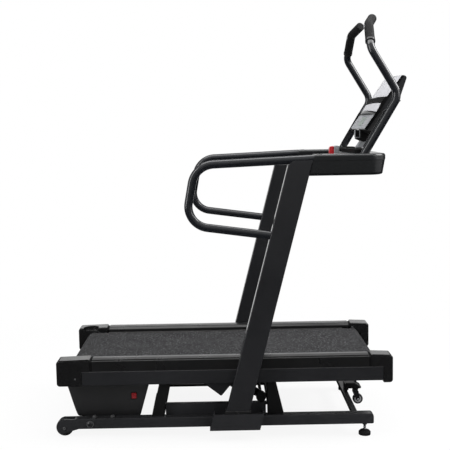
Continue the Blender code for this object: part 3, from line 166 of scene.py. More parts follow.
LEDGE_SPAN = (0.082, 0.094)
LEDGE_OUT = (0.002, 0.022)
SHELF_SPAN = (0.139, 0.173)
SHELF_OUT = (0.010, 0.013)
SHELF_ARCH = 0.003
RIM_ARCH = 0.006
RIM_RADIUS = 0.0022
KEY_ROWS = (0.022, 0.041, 0.060)
KEY_COLUMNS = (0.092, 0.122, 0.152, 0.182)
KEY_SIZE = (0.012, 0.022)
KEY_RISE = 0.0008

# Deck
SIDE_TOP = 0.3107
RAIL_SEAT = SIDE_TOP + 0.0015
BELT_HALF = 0.255
BELT_THICK = 0.003
BELT_TOP = 0.3450
ROLLER_REAR = -0.711
ROLLER_FRONT = 0.631
ROLLER_RADIUS = 0.0295
RAIL_INNER = 0.288
RAIL_CREST = 0.366
RAIL_MIDDLE = 0.330
RAIL_BROW = 0.302
RAIL_SKIRT = 0.3425
RAIL_WALL = 0.3525
FOOT_RAIL_ENDS = (-0.634, 0.617)
RAIL_EDGE = 0.0085
RAIL_EDGE_TOP = 0.3600
RAIL_GROOVE = 0.3585
REAR_CAP = (-0.795, -0.683, -0.6465)
FRONT_CAP = (0.724, 0.683, 0.629)
CAP_BOTTOM = 0.246
FRONT_CAP_BOTTOM = 0.238
CAP_ROUND = 0.014
OVERLAP = 0.004
CAP_TOP = 0.3672
CAP_OUT = 0.3765
CAP_STEP = 0.3662
CAP_SCREW = (-0.711, 0.280)
SCOOP = (-0.730, 0.298, 0.040, 0.349)
COVER_HALF = 0.305
COVER_WALL = 0.003
COVER_TOP = 0.2455
COVER_REAR = (-0.763, -0.716)
COVER_FRONT = (-0.388, -0.429)
COVER_BOTTOM = (0.083, 0.077)
COVER_CORNER = 0.014
COVER_TUCK = (0.012, 0.075)
SWITCH = (-0.455, 0.178)
SWITCH_SIZE = (0.022, 0.028)

# Radius and height of screw heads
WASHER_HEAD = (0.0165, 0.003)
RAIL_HEAD = (0.0125, 0.006)
WHEEL_HEAD = (0.0070, 0.005)
TOP_HEAD = (0.0095, 0.0075)
CAP_HEAD = (0.0045, 0.0016)
AXLE_HEAD = (0.0055, 0.003)
HOUSING_HEAD = (0.0045, 0.0022)
SOCKET_SHARE = 0.45


# Drawing

def band(side, a, b):
    """Lowest and highest y of a strip that lies a to b from the middle, on one side."""
    return min(side * a, side * b), max(side * a, side * b)


def arc(centre, radius, start, end, steps):
    """Points on a circle, from start to end in degrees."""
    points = []
    for step in range(steps + 1):
        angle = math.radians(start + (end - start) * step / steps)
        points.append((centre[0] + radius * math.cos(angle), centre[1] + radius * math.sin(angle)))
    return points


def fillet(before, corner, after, steps):
    """The arc that rounds a corner, which has its radius as its last value (0 keeps it sharp)."""
    here, radius = Vector(corner[:-1]), corner[-1]
    if radius == 0:
        return [tuple(here)]
    back = (Vector(before[:-1]) - here).normalized()
    onward = (Vector(after[:-1]) - here).normalized()
    half = back.angle(onward) / 2
    reach = radius / math.tan(half)
    centre = here + (back + onward).normalized() * (radius / math.sin(half))
    first = here + back * reach - centre
    last = here + onward * reach - centre
    sweep = first.angle(last)
    points = []
    for step in range(steps + 1):
        part = step / steps
        blend = first * math.sin((1 - part) * sweep) + last * math.sin(part * sweep)
        points.append(tuple(centre + blend / math.sin(sweep)))
    return points


def rounded(corners, steps=8):
    """A closed path through corners, each rounded by its own radius."""
    points = []
    for index, corner in enumerate(corners):
        points += fillet(corners[index - 1], corner, corners[(index + 1) % len(corners)], steps)
    return points


def bent(corners, steps=24):
    """An open path whose inner corners are rounded."""
    points = [corners[0][:-1]]
    for before, corner, after in zip(corners, corners[1:], corners[2:]):
        points += fillet(before, corner, after, steps)
    return points + [corners[-1][:-1]]


AXES = {"X": lambda u, v, w: (w, u, v), "Y": lambda u, v, w: (u, w, v), "Z": lambda u, v, w: (u, v, w)}
QUARTER = [math.radians(15 * step) for step in range(7)]


def rectangle(u, v, corner, steps=8):
    """A rectangle from two (low, high) pairs, with round corners."""
    places = ((u[0], v[0]), (u[1], v[0]), (u[1], v[1]), (u[0], v[1]))
    return rounded([(*place, corner) for place in places], steps)


def skinned(mesh, rings):
    """Faces from ring to ring, all of as many points, and over both ends."""
    for first, second in zip(rings, rings[1:]):
        for index in range(len(first)):
            onward = (index + 1) % len(first)
            mesh.faces.new((first[index], first[onward], second[onward], second[index]))
    mesh.faces.new(list(reversed(rings[0])))
    mesh.faces.new(rings[-1])
    return mesh


def prism(outline, axis, low, high):
    """A flat outline drawn out along one axis."""
    lift = AXES[axis]
    mesh = bmesh.new()
    bottom = [mesh.verts.new(lift(u, v, low)) for u, v in outline]
    top = [mesh.verts.new(lift(u, v, high)) for u, v in outline]
    count = len(outline)
    mesh.faces.new(bottom)
    mesh.faces.new(list(reversed(top)))
    for index in range(count):
        onward = (index + 1) % count
        mesh.faces.new((bottom[onward], bottom[index], top[index], top[onward]))
    return mesh


def block(x, y, z):
    """A plain box from three (low, high) pairs."""
    return prism(rectangle(x, z, 0), "Y", *y)


def stacked(levels, axis="Z"):
    """A solid through flat outlines of as many points, each with its place along an axis."""
    lift = AXES[axis]
    mesh = bmesh.new()
    return skinned(mesh, [[mesh.verts.new(lift(u, v, w)) for u, v in outline] for outline, w in levels])


def turned(profile, axis, centre, sides=64, bored=False):
    """A profile of (radius, along) pairs spun about an axis through centre."""
    lift = AXES[axis]
    mesh = bmesh.new()
    rings = []
    for radius, along in profile:
        if radius == 0:
            rings.append([mesh.verts.new(Vector(lift(0, 0, along)) + Vector(centre))])
            continue
        ring = []
        for u, v in arc((0, 0), radius, 0, 360 - 360 / sides, sides - 1):
            ring.append(mesh.verts.new(Vector(lift(u, v, along)) + Vector(centre)))
        rings.append(ring)
    pairs = list(zip(rings, rings[1:]))
    if bored:
        pairs.append((rings[-1], rings[0]))
    for first, second in pairs:
        for index in range(sides):
            onward = (index + 1) % sides
            corners = []
            for ring, place in ((first, index), (first, onward), (second, onward), (second, index)):
                vertex = ring[place % len(ring)]
                if vertex not in corners:
                    corners.append(vertex)
            mesh.faces.new(corners)
    return mesh


def round_profile(points):
    """A turned profile whose corners, given as (radius, along, rounding), are rounded over."""
    return bent(points, 4)


def tube(path, radius, crown=0.0, sides=48):
    """A round bar along a path, with its two ends rounded over by crown."""
    points = [Vector(point) for point in path]
    stations = [(point, radius) for point in points]
    if crown:
        start = (points[1] - points[0]).normalized()
        end = (points[-2] - points[-1]).normalized()
        nose = [(crown * (1 - math.cos(turn)), radius - crown + crown * math.sin(turn)) for turn in QUARTER]
        first = [(points[0] + start * along, size) for along, size in nose]
        last = [(points[-1] + end * along, size) for along, size in reversed(nose)]
        stations = first + stations[1:-1] + last
    mesh = bmesh.new()
    rings = []
    across = None
    for index, (point, size) in enumerate(stations):
        before = stations[max(index - 1, 0)][0]
        after = stations[min(index + 1, len(stations) - 1)][0]
        along = (after - before).normalized()
        if across is None:
            across = along.orthogonal().normalized()
        across = (across - along * across.dot(along)).normalized()
        beside = along.cross(across)
        ring = []
        for u, v in arc((0, 0), size, 0, 360 - 360 / sides, sides - 1):
            ring.append(mesh.verts.new(point + across * u + beside * v))
        rings.append(ring)
    return skinned(mesh, rings)


def shown(name, data):
    """An object in the scene."""
    item = bpy.data.objects.new(name, data)
    bpy.context.scene.collection.objects.link(item)
    return item


def drawn(name, mesh):
    """An object from a drawing, as it is."""
    data = bpy.data.meshes.new(name)
    mesh.to_mesh(data)
    mesh.free()
    return shown(name, data)


def solid(name, mesh):
    """An object from a drawing, with its faces pointing outwards."""
    bmesh.ops.recalc_face_normals(mesh, faces=mesh.faces)
    return drawn(name, mesh)


def bake(item):
    """Turn an object's modifiers into a plain mesh."""
    bpy.context.view_layer.update()
    graph = bpy.context.evaluated_depsgraph_get()
    data = bpy.data.meshes.new_from_object(item.evaluated_get(graph))
    data.name = item.name
    item.modifiers.clear()
    item.data = data


def soften(item, width, segments):
    bevel = item.modifiers.new("soft edges", "BEVEL")
    bevel.width = width
    bevel.segments = segments
    bevel.limit_method = "ANGLE"
    bevel.angle_limit = math.radians(40)


def finished(name, mesh, look, body="base", stands_for=(), edge=0.0, segments=3, cuts=(), setting=MACHINE):
    """A piece from its drawing: edges softened, shapes cut out, smooth, in place and riding on its body."""
    item = solid(name, mesh)
    if edge:
        soften(item, edge, segments)
        bake(item)
    for number, cut in enumerate(cuts):
        tool = solid(f"{name}_cut_{number}", cut)
        boolean = item.modifiers.new("cut", "BOOLEAN")
        boolean.operation = "DIFFERENCE"
        boolean.solver = "EXACT"
        boolean.object = tool
        bake(item)
        bpy.data.objects.remove(tool)
    item.data.shade_smooth()
    item.data.set_sharp_from_angle(angle=math.radians(35))
    item.modifiers.new("even shading", "WEIGHTED_NORMAL").keep_sharp = True
    bake(item)
    item.data.transform(setting)
    item.data.materials.clear()
    item.data.materials.append(look)
    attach(item, body)
    if stands_for:
        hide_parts(*stands_for)


# Finishes

def fill(tree, node, values):
    """Fill a node's inputs, each from a constant or from another node's output."""
    for key, value in values.items():
        if isinstance(value, bpy.types.NodeSocket):
            tree.links.new(value, node.inputs[key])
        else:
            node.inputs[key].default_value = value


def add(tree, kind, values=None, **settings):
    """A node with its settings and the values of its inputs."""
    made = tree.nodes.new(kind)
    for name, value in settings.items():
        setattr(made, name, value)
    fill(tree, made, values or {})
    return made


def maths(tree, operation, first, second):
    return add(tree, "ShaderNodeMath", {0: first, 1: second}, operation=operation).outputs[0]


def ranged(tree, value, low, high, start=0.0, end=1.0):
    """A value stretched from low and high to start and end, and held between them."""
    ends = {"From Min": low, "From Max": high, "To Min": start, "To Max": end}
    return add(tree, "ShaderNodeMapRange", {"Value": value, **ends}).outputs[0]


def noise(tree, place, scale, **more):
    return add(tree, "ShaderNodeTexNoise", {"Vector": place, "Scale": scale, **more}).outputs[0]


def cells(tree, place, scale, **settings):
    return add(tree, "ShaderNodeTexVoronoi", {"Vector": place, "Scale": scale}, **settings).outputs


def own_place(tree, stretch=None):
    """Where a point lies in its piece, with a pattern's axes squeezed if stretch is given."""
    place = add(tree, "ShaderNodeTexCoord").outputs["Object"]
    if stretch:
        place = add(tree, "ShaderNodeMapping", {"Vector": place, "Scale": stretch}).outputs[0]
    return place


def shader_group(name, sizes, result):
    """An empty effect with its named inputs, one output, and the group's own two ends."""
    tree = bpy.data.node_groups.new(name, "ShaderNodeTree")
    for label, value in sizes.items():
        tree.interface.new_socket(label, in_out="INPUT", socket_type="NodeSocketFloat").default_value = value
    tree.interface.new_socket(result, in_out="OUTPUT", socket_type="NodeSocketFloat")
    given = tree.nodes.new("NodeGroupInput").outputs
    return tree, given, tree.nodes.new("NodeGroupOutput").inputs[result]


def moulded_grain():
    """The fine pebbled skin of moulded plastic and powder paint, as a height."""
    tree, given, height = shader_group("moulded grain", {"Scale": 900.0}, "Height")
    place = own_place(tree)
    pebbles = cells(tree, place, given["Scale"], feature="SMOOTH_F1")["Distance"]
    specks = noise(tree, place, maths(tree, "MULTIPLY", given["Scale"], 2.3), Detail=2.0)
    tree.links.new(maths(tree, "ADD", pebbles, specks), height)
    return tree


def slow_drift():
    """Broad unevenness between two values, for gloss and tone."""
    tree, given, value = shader_group("slow drift", {"Scale": 6.0, "Low": 0.0, "High": 1.0}, "Value")
    cloud = noise(tree, own_place(tree), given["Scale"], Detail=4.0)
    tree.links.new(ranged(tree, cloud, 0.3, 0.7, given["Low"], given["High"]), value)
    return tree


def settled_dust():
    """Where dust lies: on surfaces that face up, thinly and in patches."""
    tree, given, mask = shader_group("settled dust", {"Amount": 0.3, "Scale": 40.0}, "Mask")
    normal = add(tree, "ShaderNodeNewGeometry").outputs["Normal"]
    upward = ranged(tree, add(tree, "ShaderNodeSeparateXYZ", {0: normal}).outputs["Z"], 0.55, 1.0)
    patches = noise(tree, own_place(tree), given["Scale"], Detail=6.0)
    lying = maths(tree, "MULTIPLY", upward, ranged(tree, patches, 0.35, 0.8))
    tree.links.new(maths(tree, "MULTIPLY", lying, given["Amount"]), mask)
    return tree


def fine_scuffs():
    """Thin scattered rub marks, long in one direction."""
    tree, given, mask = shader_group("fine scuffs", {"Amount": 0.3, "Scale": 30.0}, "Mask")
    lines = noise(tree, own_place(tree, (1.0, 7.0, 9.0)), given["Scale"], Detail=8.0, Roughness=0.75)
    tree.links.new(maths(tree, "MULTIPLY", ranged(tree, lines, 0.60, 0.78), given["Amount"]), mask)
    return tree


GRAIN = moulded_grain()
DRIFT = slow_drift()
DUST = settled_dust()
SCUFFS = fine_scuffs()


def placed(tree, group, **values):
    """One of the shared effects in a material."""
    return add(tree, "ShaderNodeGroup", values, node_tree=group).outputs[0]


def mixed(tree, factor, first, second):
    """A colour between two, by a mask."""
    return add(tree, "ShaderNodeMix", {0: factor, 6: first, 7: second}, data_type="RGBA").outputs[2]


def grey(level):
    """A grey with a touch of blue."""
    return (level, level, level * 1.04, 1.0)


def shade(colour, factor, lift=0.0):
    """A colour made darker or paler."""
    return tuple(min(part * factor + lift, 1.0) for part in colour[:3]) + (1.0,)


def new_look(name):
    """A material and its Principled shader."""
    look = bpy.data.materials.new(name)
    look.use_nodes = True
    return look, look.node_tree, look.node_tree.nodes["Principled BSDF"]


def clothe(tree, shader, body, gloss, patch, height=None, relief=0.0, depth=0.0, shine=0.5, metal=0.0):
    """The end of every look: a colour, a roughness that drifts in patches, and a height as its relief.

    gloss is the (smoothest, roughest) roughness.
    """
    sockets = {
        "Base Color": body, "Roughness": placed(tree, DRIFT, Scale=patch, Low=gloss[0], High=gloss[1]),
        "Specular IOR Level": shine, "Metallic": metal,
    }
    if height is not None:
        bump = add(tree, "ShaderNodeBump", {"Height": height, "Strength": relief, "Distance": depth})
        sockets["Normal"] = bump.outputs[0]
    fill(tree, shader, sockets)


def coated(name, slot, colour, gloss, grain=900.0, relief=0.06, dust=0.25, scuff=0.2, tone=0.12, **sheen):
    """Paint or moulding: a tone that drifts a little, pebbled skin, dust on top and a few scuffs."""
    look, tree, shader = new_look(name)
    body = mixed(tree, placed(tree, DRIFT, Scale=5.0), shade(colour, 1 - tone), shade(colour, 1 + tone))
    body = mixed(tree, placed(tree, SCUFFS, Amount=scuff, Scale=26.0), body, shade(colour, 1.9, 0.012))
    body = mixed(tree, placed(tree, DUST, Amount=dust, Scale=45.0), body, shade(colour, 0.7, 0.045))
    skin = placed(tree, GRAIN, Scale=grain) if relief else None
    clothe(tree, shader, body, gloss, 11.0, skin, relief, 0.0006, **sheen)
    return look


def belt_look():
    """Coated running belt: charcoal, speckled with lighter grains over a fine embossed weave."""
    look, tree, shader = new_look("belt_cover")
    place = own_place(tree)
    mottle = ranged(tree, noise(tree, place, 120.0, Detail=5.0, Roughness=0.80), 0.42, 0.60)
    body = mixed(tree, mottle, grey(0.0065), grey(0.057))
    flecks = cells(tree, own_place(tree, (1.0, 0.55, 1.0)), 170.0)
    bright = ranged(tree, flecks["Distance"], 0.12, 0.34, 0.90, 0.0)
    some = add(tree, "ShaderNodeSeparateColor", {0: flecks["Color"]}).outputs[0]
    body = mixed(tree, maths(tree, "MULTIPLY", bright, ranged(tree, some, 0.45, 0.75)), body, grey(0.30))
    body = mixed(tree, placed(tree, DRIFT, Scale=3.0, Low=0.0, High=0.25), body, grey(0.040))
    weave = cells(tree, place, 380.0, distance="CHEBYCHEV")["Distance"]
    clothe(tree, shader, body, (0.72, 0.88), 9.0, weave, 0.35, 0.0008, shine=0.08)
    return look


def metal_look(name, colour, gloss):
    """Turned steel: fine rings about the Y axis, with a little tarnish."""
    look, tree, shader = new_look(name)
    rings = noise(tree, own_place(tree, (160.0, 1.0, 160.0)), 8.0, Detail=3.0)
    tarnish = placed(tree, DRIFT, Scale=24.0, Low=0.0, High=0.6)
    body = mixed(tree, tarnish, colour, shade(colour, 0.62))
    clothe(tree, shader, body, gloss, 30.0, rings, 0.12, 0.0003, metal=1.0)
    return look


def board_look():
    """Black-faced fibreboard: tiny chips under a dull wax."""
    look, tree, shader = new_look("waxed_board")
    chips = cells(tree, own_place(tree), 420.0)
    tone = add(tree, "ShaderNodeSeparateColor", {0: chips["Color"]}).outputs[0]
    body = mixed(tree, tone, (0.008, 0.008, 0.008, 1.0), (0.020, 0.019, 0.018, 1.0))
    clothe(tree, shader, body, (0.5, 0.75), 12.0, chips["Distance"], 0.15, 0.0005)
    return look


FRAME_PAINT = coated("powder_coat", "frame_paint", (0.0180, 0.0183, 0.0200, 1.0), (0.15, 0.23), 700.0, 0.03,
                     dust=0.08, shine=0.30)
BASE_PAINT = coated("base_coat", "frame_paint", (0.0235, 0.0238, 0.0258, 1.0), (0.18, 0.26), 700.0, 0.03,
                    dust=0.12, shine=0.30)
TUBE_PAINT = coated("tube_enamel", "tube_paint", (0.0105, 0.0116, 0.0142, 1.0), (0.15, 0.21), relief=0,
                    dust=0.04, scuff=0.08, shine=0.50)
# A darker, duller copy of the frame paint for the parts under the deck: painted shade.
UNDER_PAINT_SHADED = coated("under_coat_painted_shade", "frame_paint", grey(0.0075), (0.30, 0.42), 700.0, 0.03, dust=0.10,
                     shine=0.20)
BOLT_COAT = coated("bolt_coat", "steel", grey(0.060), (0.30, 0.42), 700.0, 0.03, dust=0.10, shine=0.30)
MOULDING = coated("grained_moulding", "matte_plastic", grey(0.0125), (0.20, 0.30), 950.0, 0.06, shine=0.25)
TRAY_PLASTIC = coated("satin_moulding", "matte_plastic", (0.0070, 0.0078, 0.0086, 1.0), (0.20, 0.28), 950.0,
                      0.03, dust=0.06, shine=0.42)
COVER_PLASTIC = coated("cover_moulding", "matte_plastic", grey(0.0260), (0.28, 0.40), 950.0, 0.08, shine=0.25)
CAP_PLASTIC = coated("end_cap_moulding", "matte_plastic", grey(0.0095), (0.18, 0.26), 950.0, 0.04, shine=0.38)
DULL_PLASTIC = coated("dull_moulding", "matte_plastic", grey(0.0060), (0.62, 0.78), 950.0, 0.10, dust=0.0,
                      scuff=0.1, shine=0.06)
RAIL_PLASTIC = coated("rail_extrusion", "rail_plastic", grey(0.0090), (0.26, 0.34), 500.0, 0.04, scuff=0.30,
                      shine=0.34)
GRIP_RUBBER = coated("sleeve_rubber", "grip_rubber", grey(0.0085), (0.58, 0.72), 1400.0, 0.22, dust=0.05,
                     shine=0.10)
WHEEL_RUBBER = coated("tyre_rubber", "wheel_rubber", grey(0.0140), (0.58, 0.75), 800.0, 0.20, scuff=0.4,
                      shine=0.3)
SILVER = coated("silver_moulding", "silver_plastic", (0.275, 0.284, 0.300, 1.0), (0.42, 0.52), relief=0,
                dust=0.0, scuff=0.08, tone=0.05, metal=0.20)
PALE_FILM = coated("pale_panel_film", "white_panel", grey(0.48), (0.84, 0.94), relief=0, dust=0.0,
                   scuff=0.0, tone=0.03, shine=0.05)
WINDOW_GREY = coated("window_film", "white_panel", (0.200, 0.228, 0.212, 1.0), (0.40, 0.50), relief=0,
                     dust=0.0, scuff=0.0, tone=0.03, shine=0.2)
KEY_RED = coated("red_moulding", "key_red", (0.46, 0.012, 0.018, 1.0), (0.28, 0.42), 700.0, 0.05, dust=0.0,
                 scuff=0.10, tone=0.06)
ROCKER_RED = coated("rocker_red", "key_red", (0.260, 0.006, 0.010, 1.0), (0.22, 0.34), relief=0, dust=0.0,
                    scuff=0.05, tone=0.06)
CASTER_GREY = coated("grey_nylon", "caster_grey", grey(0.30), (0.40, 0.55), 700.0, 0.10, scuff=0.25)
MOTOR_ENAMEL = coated("motor_enamel", "motor_shell", grey(0.065), (0.35, 0.50), 500.0, 0.08, dust=0.5,
                      metal=0.4)
TURNED_STEEL = metal_look("turned_steel", (0.52, 0.52, 0.53, 1.0), (0.26, 0.42))
DARK_SCREW = metal_look("blackened_screw", (0.045, 0.045, 0.048, 1.0), (0.30, 0.45))
BELT = belt_look()
BOARD = board_look()


# Geometry Nodes

def points_tree(name, sizes):
    """An empty tree that takes points, some sizes and a finish, and the values that it is given."""
    tree = bpy.data.node_groups.new(name, "GeometryNodeTree")
    for label, kind in {"Places": "Geometry", **dict.fromkeys(sizes, "Float"), "Finish": "Material"}.items():
        tree.interface.new_socket(label, in_out="INPUT", socket_type=f"NodeSocket{kind}")
    tree.interface.new_socket("Pieces", in_out="OUTPUT", socket_type="NodeSocketGeometry")
    return tree, tree.nodes.new("NodeGroupInput").outputs


def shape(tree, kind, values=None, **settings):
    """The first output of a Geometry Nodes node."""
    return add(tree, f"GeometryNode{kind}", values, **settings).outputs[0]


def on_points(tree, given, piece, **turn):
    """The end of such a tree: a piece on every point, as one plain mesh in its finish."""
    spread = shape(tree, "InstanceOnPoints", {"Points": given["Places"], "Instance": piece, **turn})
    plain = shape(tree, "RealizeInstances", {"Geometry": spread})
    painted = shape(tree, "SetMaterial", {"Geometry": plain, "Material": given["Finish"]})
    tree.links.new(painted, tree.nodes.new("NodeGroupOutput").inputs[0])
    return tree


def screw_tree():
    """A domed socket-head screw on every point, turned to face the way that the point says."""
    tree, given = points_tree("screw heads", ("Head Radius", "Head Height", "Socket Radius"))
    radius, height, socket = given["Head Radius"], given["Head Height"], given["Socket Radius"]

    def raised(piece, rise):
        lift = add(tree, "ShaderNodeCombineXYZ", {"Z": rise}).outputs[0]
        return shape(tree, "Transform", {"Geometry": piece, "Translation": lift})

    head = shape(tree, "MeshCylinder", {"Vertices": 28, "Radius": radius, "Depth": height})
    dome = shape(tree, "MeshCone", {
        "Vertices": 28, "Radius Top": maths(tree, "MULTIPLY", radius, 0.72), "Radius Bottom": radius,
        "Depth": maths(tree, "MULTIPLY", height, 0.4),
    })
    whole = add(tree, "GeometryNodeMeshBoolean", operation="UNION", solver="EXACT")
    for piece in (head, raised(dome, maths(tree, "MULTIPLY", height, 0.5))):
        tree.links.new(piece, whole.inputs["Mesh 2"])
    wrench = raised(shape(tree, "MeshCylinder", {"Vertices": 6, "Radius": socket, "Depth": height}), height)
    cut = shape(tree, "MeshBoolean", {"Mesh 1": whole.outputs[0], "Mesh 2": wrench},
                operation="DIFFERENCE", solver="EXACT")
    facing = shape(tree, "InputNamedAttribute", {"Name": "facing"}, data_type="FLOAT_VECTOR")
    turn = add(tree, "FunctionNodeAlignRotationToVector", {"Vector": facing}, axis="Z")
    return on_points(tree, given, cut, Rotation=turn.outputs[0])


def pad_tree():
    """A low pad with round corners on every point: keys, ribs and small windows."""
    tree, given = points_tree("low pads", ("Length", "Width", "Corner", "Rise"))
    edge = shape(tree, "CurvePrimitiveQuadrilateral", {"Width": given["Length"], "Height": given["Width"]})
    edge = shape(tree, "FilletCurve", {"Curve": edge, "Radius": given["Corner"], "Count": 5}, mode="POLY")
    flat = shape(tree, "FillCurve", {"Curve": edge}, mode="NGONS")
    top = shape(tree, "ExtrudeMesh", {"Mesh": flat, "Offset Scale": given["Rise"]}, mode="FACES")
    under = shape(tree, "FlipFaces", {"Mesh": flat})
    both = add(tree, "GeometryNodeJoinGeometry")
    for half in (top, under):
        tree.links.new(half, both.inputs[0])
    closed = shape(tree, "MergeByDistance", {"Geometry": both.outputs[0], "Distance": 0.00001})
    return on_points(tree, given, closed)


SCREW_HEADS = screw_tree()
LOW_PADS = pad_tree()


def by_nodes(name, points, tree, values, look, body, setting, facing=()):
    """A piece that a Geometry Nodes tree makes from points, turned into a plain mesh."""
    mesh = bmesh.new()
    for point in points:
        mesh.verts.new(point)
    made = drawn(name, mesh)
    if facing:
        ways = made.data.attributes.new("facing", "FLOAT_VECTOR", "POINT")
        for item, way in zip(ways.data, facing):
            item.vector = way
    modifier = made.modifiers.new("made by nodes", "NODES")
    modifier.node_group = tree
    sockets = {item.name: item.identifier for item in tree.interface.items_tree if item.in_out == "INPUT"}
    for label, value in {**values, "Finish": look}.items():
        modifier[sockets[label]] = value
    bake(made)
    made.data.shade_smooth()
    made.data.set_sharp_from_angle(angle=math.radians(30))
    made.data.transform(setting)
    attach(made, body)


def screws(name, places, size, look=DARK_SCREW, body="base", setting=MACHINE):
    """Screw heads of a (radius, height) at places, each a point and the direction that its head faces."""
    radius, height = size
    sizes = {"Head Radius": radius, "Head Height": height, "Socket Radius": radius * SOCKET_SHARE}
    points, ways = zip(*places)
    by_nodes(name, points, SCREW_HEADS, sizes, look, body, setting, ways)


def pads(name, places, size, corner, rise, look, setting):
    """Low pads at places, all of one size."""
    sizes = {"Length": size[0], "Width": size[1], "Corner": corner, "Rise": rise}
    by_nodes(name, places, LOW_PADS, sizes, look, "base", setting)


# Base and uprights

def leaning(x, z, rise):
    """Where a point at the upright's foot comes to, at a height along the lean."""
    return x + (rise - z) * LEAN


def slanted(rear, front, low, high):
    """A parallelogram that follows the lean of the uprights."""
    shift = (high - low) * LEAN
    return [(rear, low), (front, low), (front + shift, high), (rear + shift, high)]


def upright_top(x):
    """Height of the cut under the handrail, for a foot point at x."""
    height, slope = HANDRAIL_TOP
    base = height - HANDRAIL_RADIUS - GAP + slope * (x - LEAN * UPRIGHT_BOTTOM)
    return base / (1 - slope * LEAN)


def make_upright(name, side):
    """Rounded box tube that leans forward, its cheek beside the handrail, and the collar at its socket."""
    low, high = band(side, UPRIGHT_IN, UPRIGHT_OUT)
    front = UPRIGHT_REAR + UPRIGHT_DEPTH
    plan = rectangle((UPRIGHT_REAR, front), (low, high), UPRIGHT_ROUND)
    mesh = prism(plan, "Z", UPRIGHT_BOTTOM, 1.0)
    for vertex in mesh.verts:
        if vertex.co.z > UPRIGHT_BOTTOM:
            vertex.co.z = upright_top(vertex.co.x)
            vertex.co.x = leaning(vertex.co.x, UPRIGHT_BOTTOM, vertex.co.z)
    finished(f"upright_tube_{name}", mesh, FRAME_PAINT, stands_for=[f"upright_{name}"])
    outline = []
    heel, toe, sunk = UPRIGHT_REAR + 0.004, front - 0.001, -0.004
    for x, lift in ((heel, sunk), (heel, 0.003), (UPRIGHT_REAR + 0.016, CHEEK), (toe, CHEEK), (toe, sunk)):
        top = upright_top(x) + lift
        outline.append((leaning(x, UPRIGHT_BOTTOM, top), top))
    cheek = prism(outline, "Y", *band(side, HANDRAIL_Y + HANDRAIL_RADIUS + 0.0003, UPRIGHT_OUT - 0.0001))
    finished(f"upright_cheek_{name}", cheek, FRAME_PAINT, edge=0.0006)
    rise = (COLLAR[0] - UPRIGHT_BOTTOM) * LEAN
    outline = slanted(UPRIGHT_REAR + rise - COLLAR_LIP, front + rise + COLLAR_LIP, *COLLAR)
    collar = prism(outline, "Y", *band(side, UPRIGHT_IN, SOCKET_OUT - 0.002))
    finished(f"upright_collar_{name}", collar, MOULDING, edge=0.003)


def make_wheel(name, side):
    """Transport wheel: rounded tread with two grooves, recessed web and a raised hub."""
    middle = side * (RAIL_IN + RAIL_OUT) / 2
    half = WHEEL_HALF
    dip = WHEEL_RADIUS - 0.0012
    grooves = []
    for start, end in ((-0.004, -0.002), (0.002, 0.004)):
        corners = ((WHEEL_RADIUS, start), (dip, start), (dip, end), (WHEEL_RADIUS, end))
        grooves += [(*corner, 0.0004) for corner in corners]
    tread = round_profile([
        (WHEEL_BORE, -half, 0), (0.014, -half, 0.001), (0.014, -half + 0.003, 0.001),
        (0.031, -half + 0.003, 0.001), (0.031, -half, 0.001), (WHEEL_RADIUS, -half, 0.004),
        *grooves, (WHEEL_RADIUS, half, 0.004), (WHEEL_BORE, half, 0),
    ])
    mesh = turned(tread, "Y", (WHEEL_X, middle, WHEEL_Z), 72, bored=True)
    piece = f"transport_wheel_{name}"
    finished(f"wheel_tread_{name}", mesh, WHEEL_RUBBER, piece, [piece])


def make_foot(name, side):
    """Levelling foot: rubber pad, threaded stem and hexagon lock nut. It stands plumb."""
    x = FOOT_X * math.cos(TILT) - RAIL_BOTTOM * math.sin(TILT) + SHIFT
    rail = FOOT_X * math.sin(TILT) + RAIL_BOTTOM * math.cos(TILT)
    body = f"levelling_foot_{name}"
    pad = round_profile([
        (0, 0, 0), (FOOT_RADIUS, 0, 0.002), (FOOT_RADIUS, 0.014, 0.003), (0.021, 0.021, 0.004),
        (0.0115, 0.024, 0.002), (0.0115, 0.026, 0.001), (0, 0.026, 0),
    ])
    plumb = Matrix.Identity(4)
    centre = (x, side * FOOT_Y, 0)
    finished(f"foot_pad_{name}", turned(pad, "Z", centre, 56), GRIP_RUBBER, body, [body], setting=plumb)
    height = 0.0255
    thread = [(0, height)]
    while height < rail + 0.010:
        thread += [(FOOT_STEM - FOOT_THREAD, height), (FOOT_STEM, height + FOOT_THREAD)]
        height += FOOT_PITCH
    thread.append((0, height))
    finished(f"foot_stem_{name}", turned(thread, "Z", centre, 32), TURNED_STEEL, body, setting=plumb)
    nut = prism(arc((x, side * FOOT_Y), 0.0108, 0, 300, 5), "Z", rail - 0.010, rail - 0.001)
    finished(f"foot_nut_{name}", nut, TURNED_STEEL, body, edge=0.0008, setting=plumb)


def make_caster():
    """Caster wheel: dark tyre on a pale grey hub."""
    half = CASTER_HALF
    centre = (CASTER_AXLE[0], 0, CASTER_AXLE[1])
    tyre = [(0.0175, -half + 0.001, 0), (0.022, -half + 0.001, 0.001), (CASTER_RADIUS, -half + 0.005, 0.003)]
    hub = [(CASTER_BORE, -half, 0), (0.010, -half, 0.001), (0.0174, -half + 0.002, 0.001)]
    tyre, hub = (round_profile(part + [(r, -y, c) for r, y, c in reversed(part)]) for part in (tyre, hub))
    body = "caster_wheel"
    finished("caster_tyre", turned(tyre, "Y", centre, bored=True), WHEEL_RUBBER, body, [body])
    finished("caster_hub", turned(hub, "Y", centre, bored=True), CASTER_GREY, body)


# Handrails, tray and push bars

def handrail_z(line, x):
    return line[0] + line[1] * x


def tray_rear(z):
    """The tray's arms meet the front of the uprights on the same lean."""
    return leaning(UPRIGHT_REAR + UPRIGHT_DEPTH, UPRIGHT_BOTTOM, z) + 2 * GAP


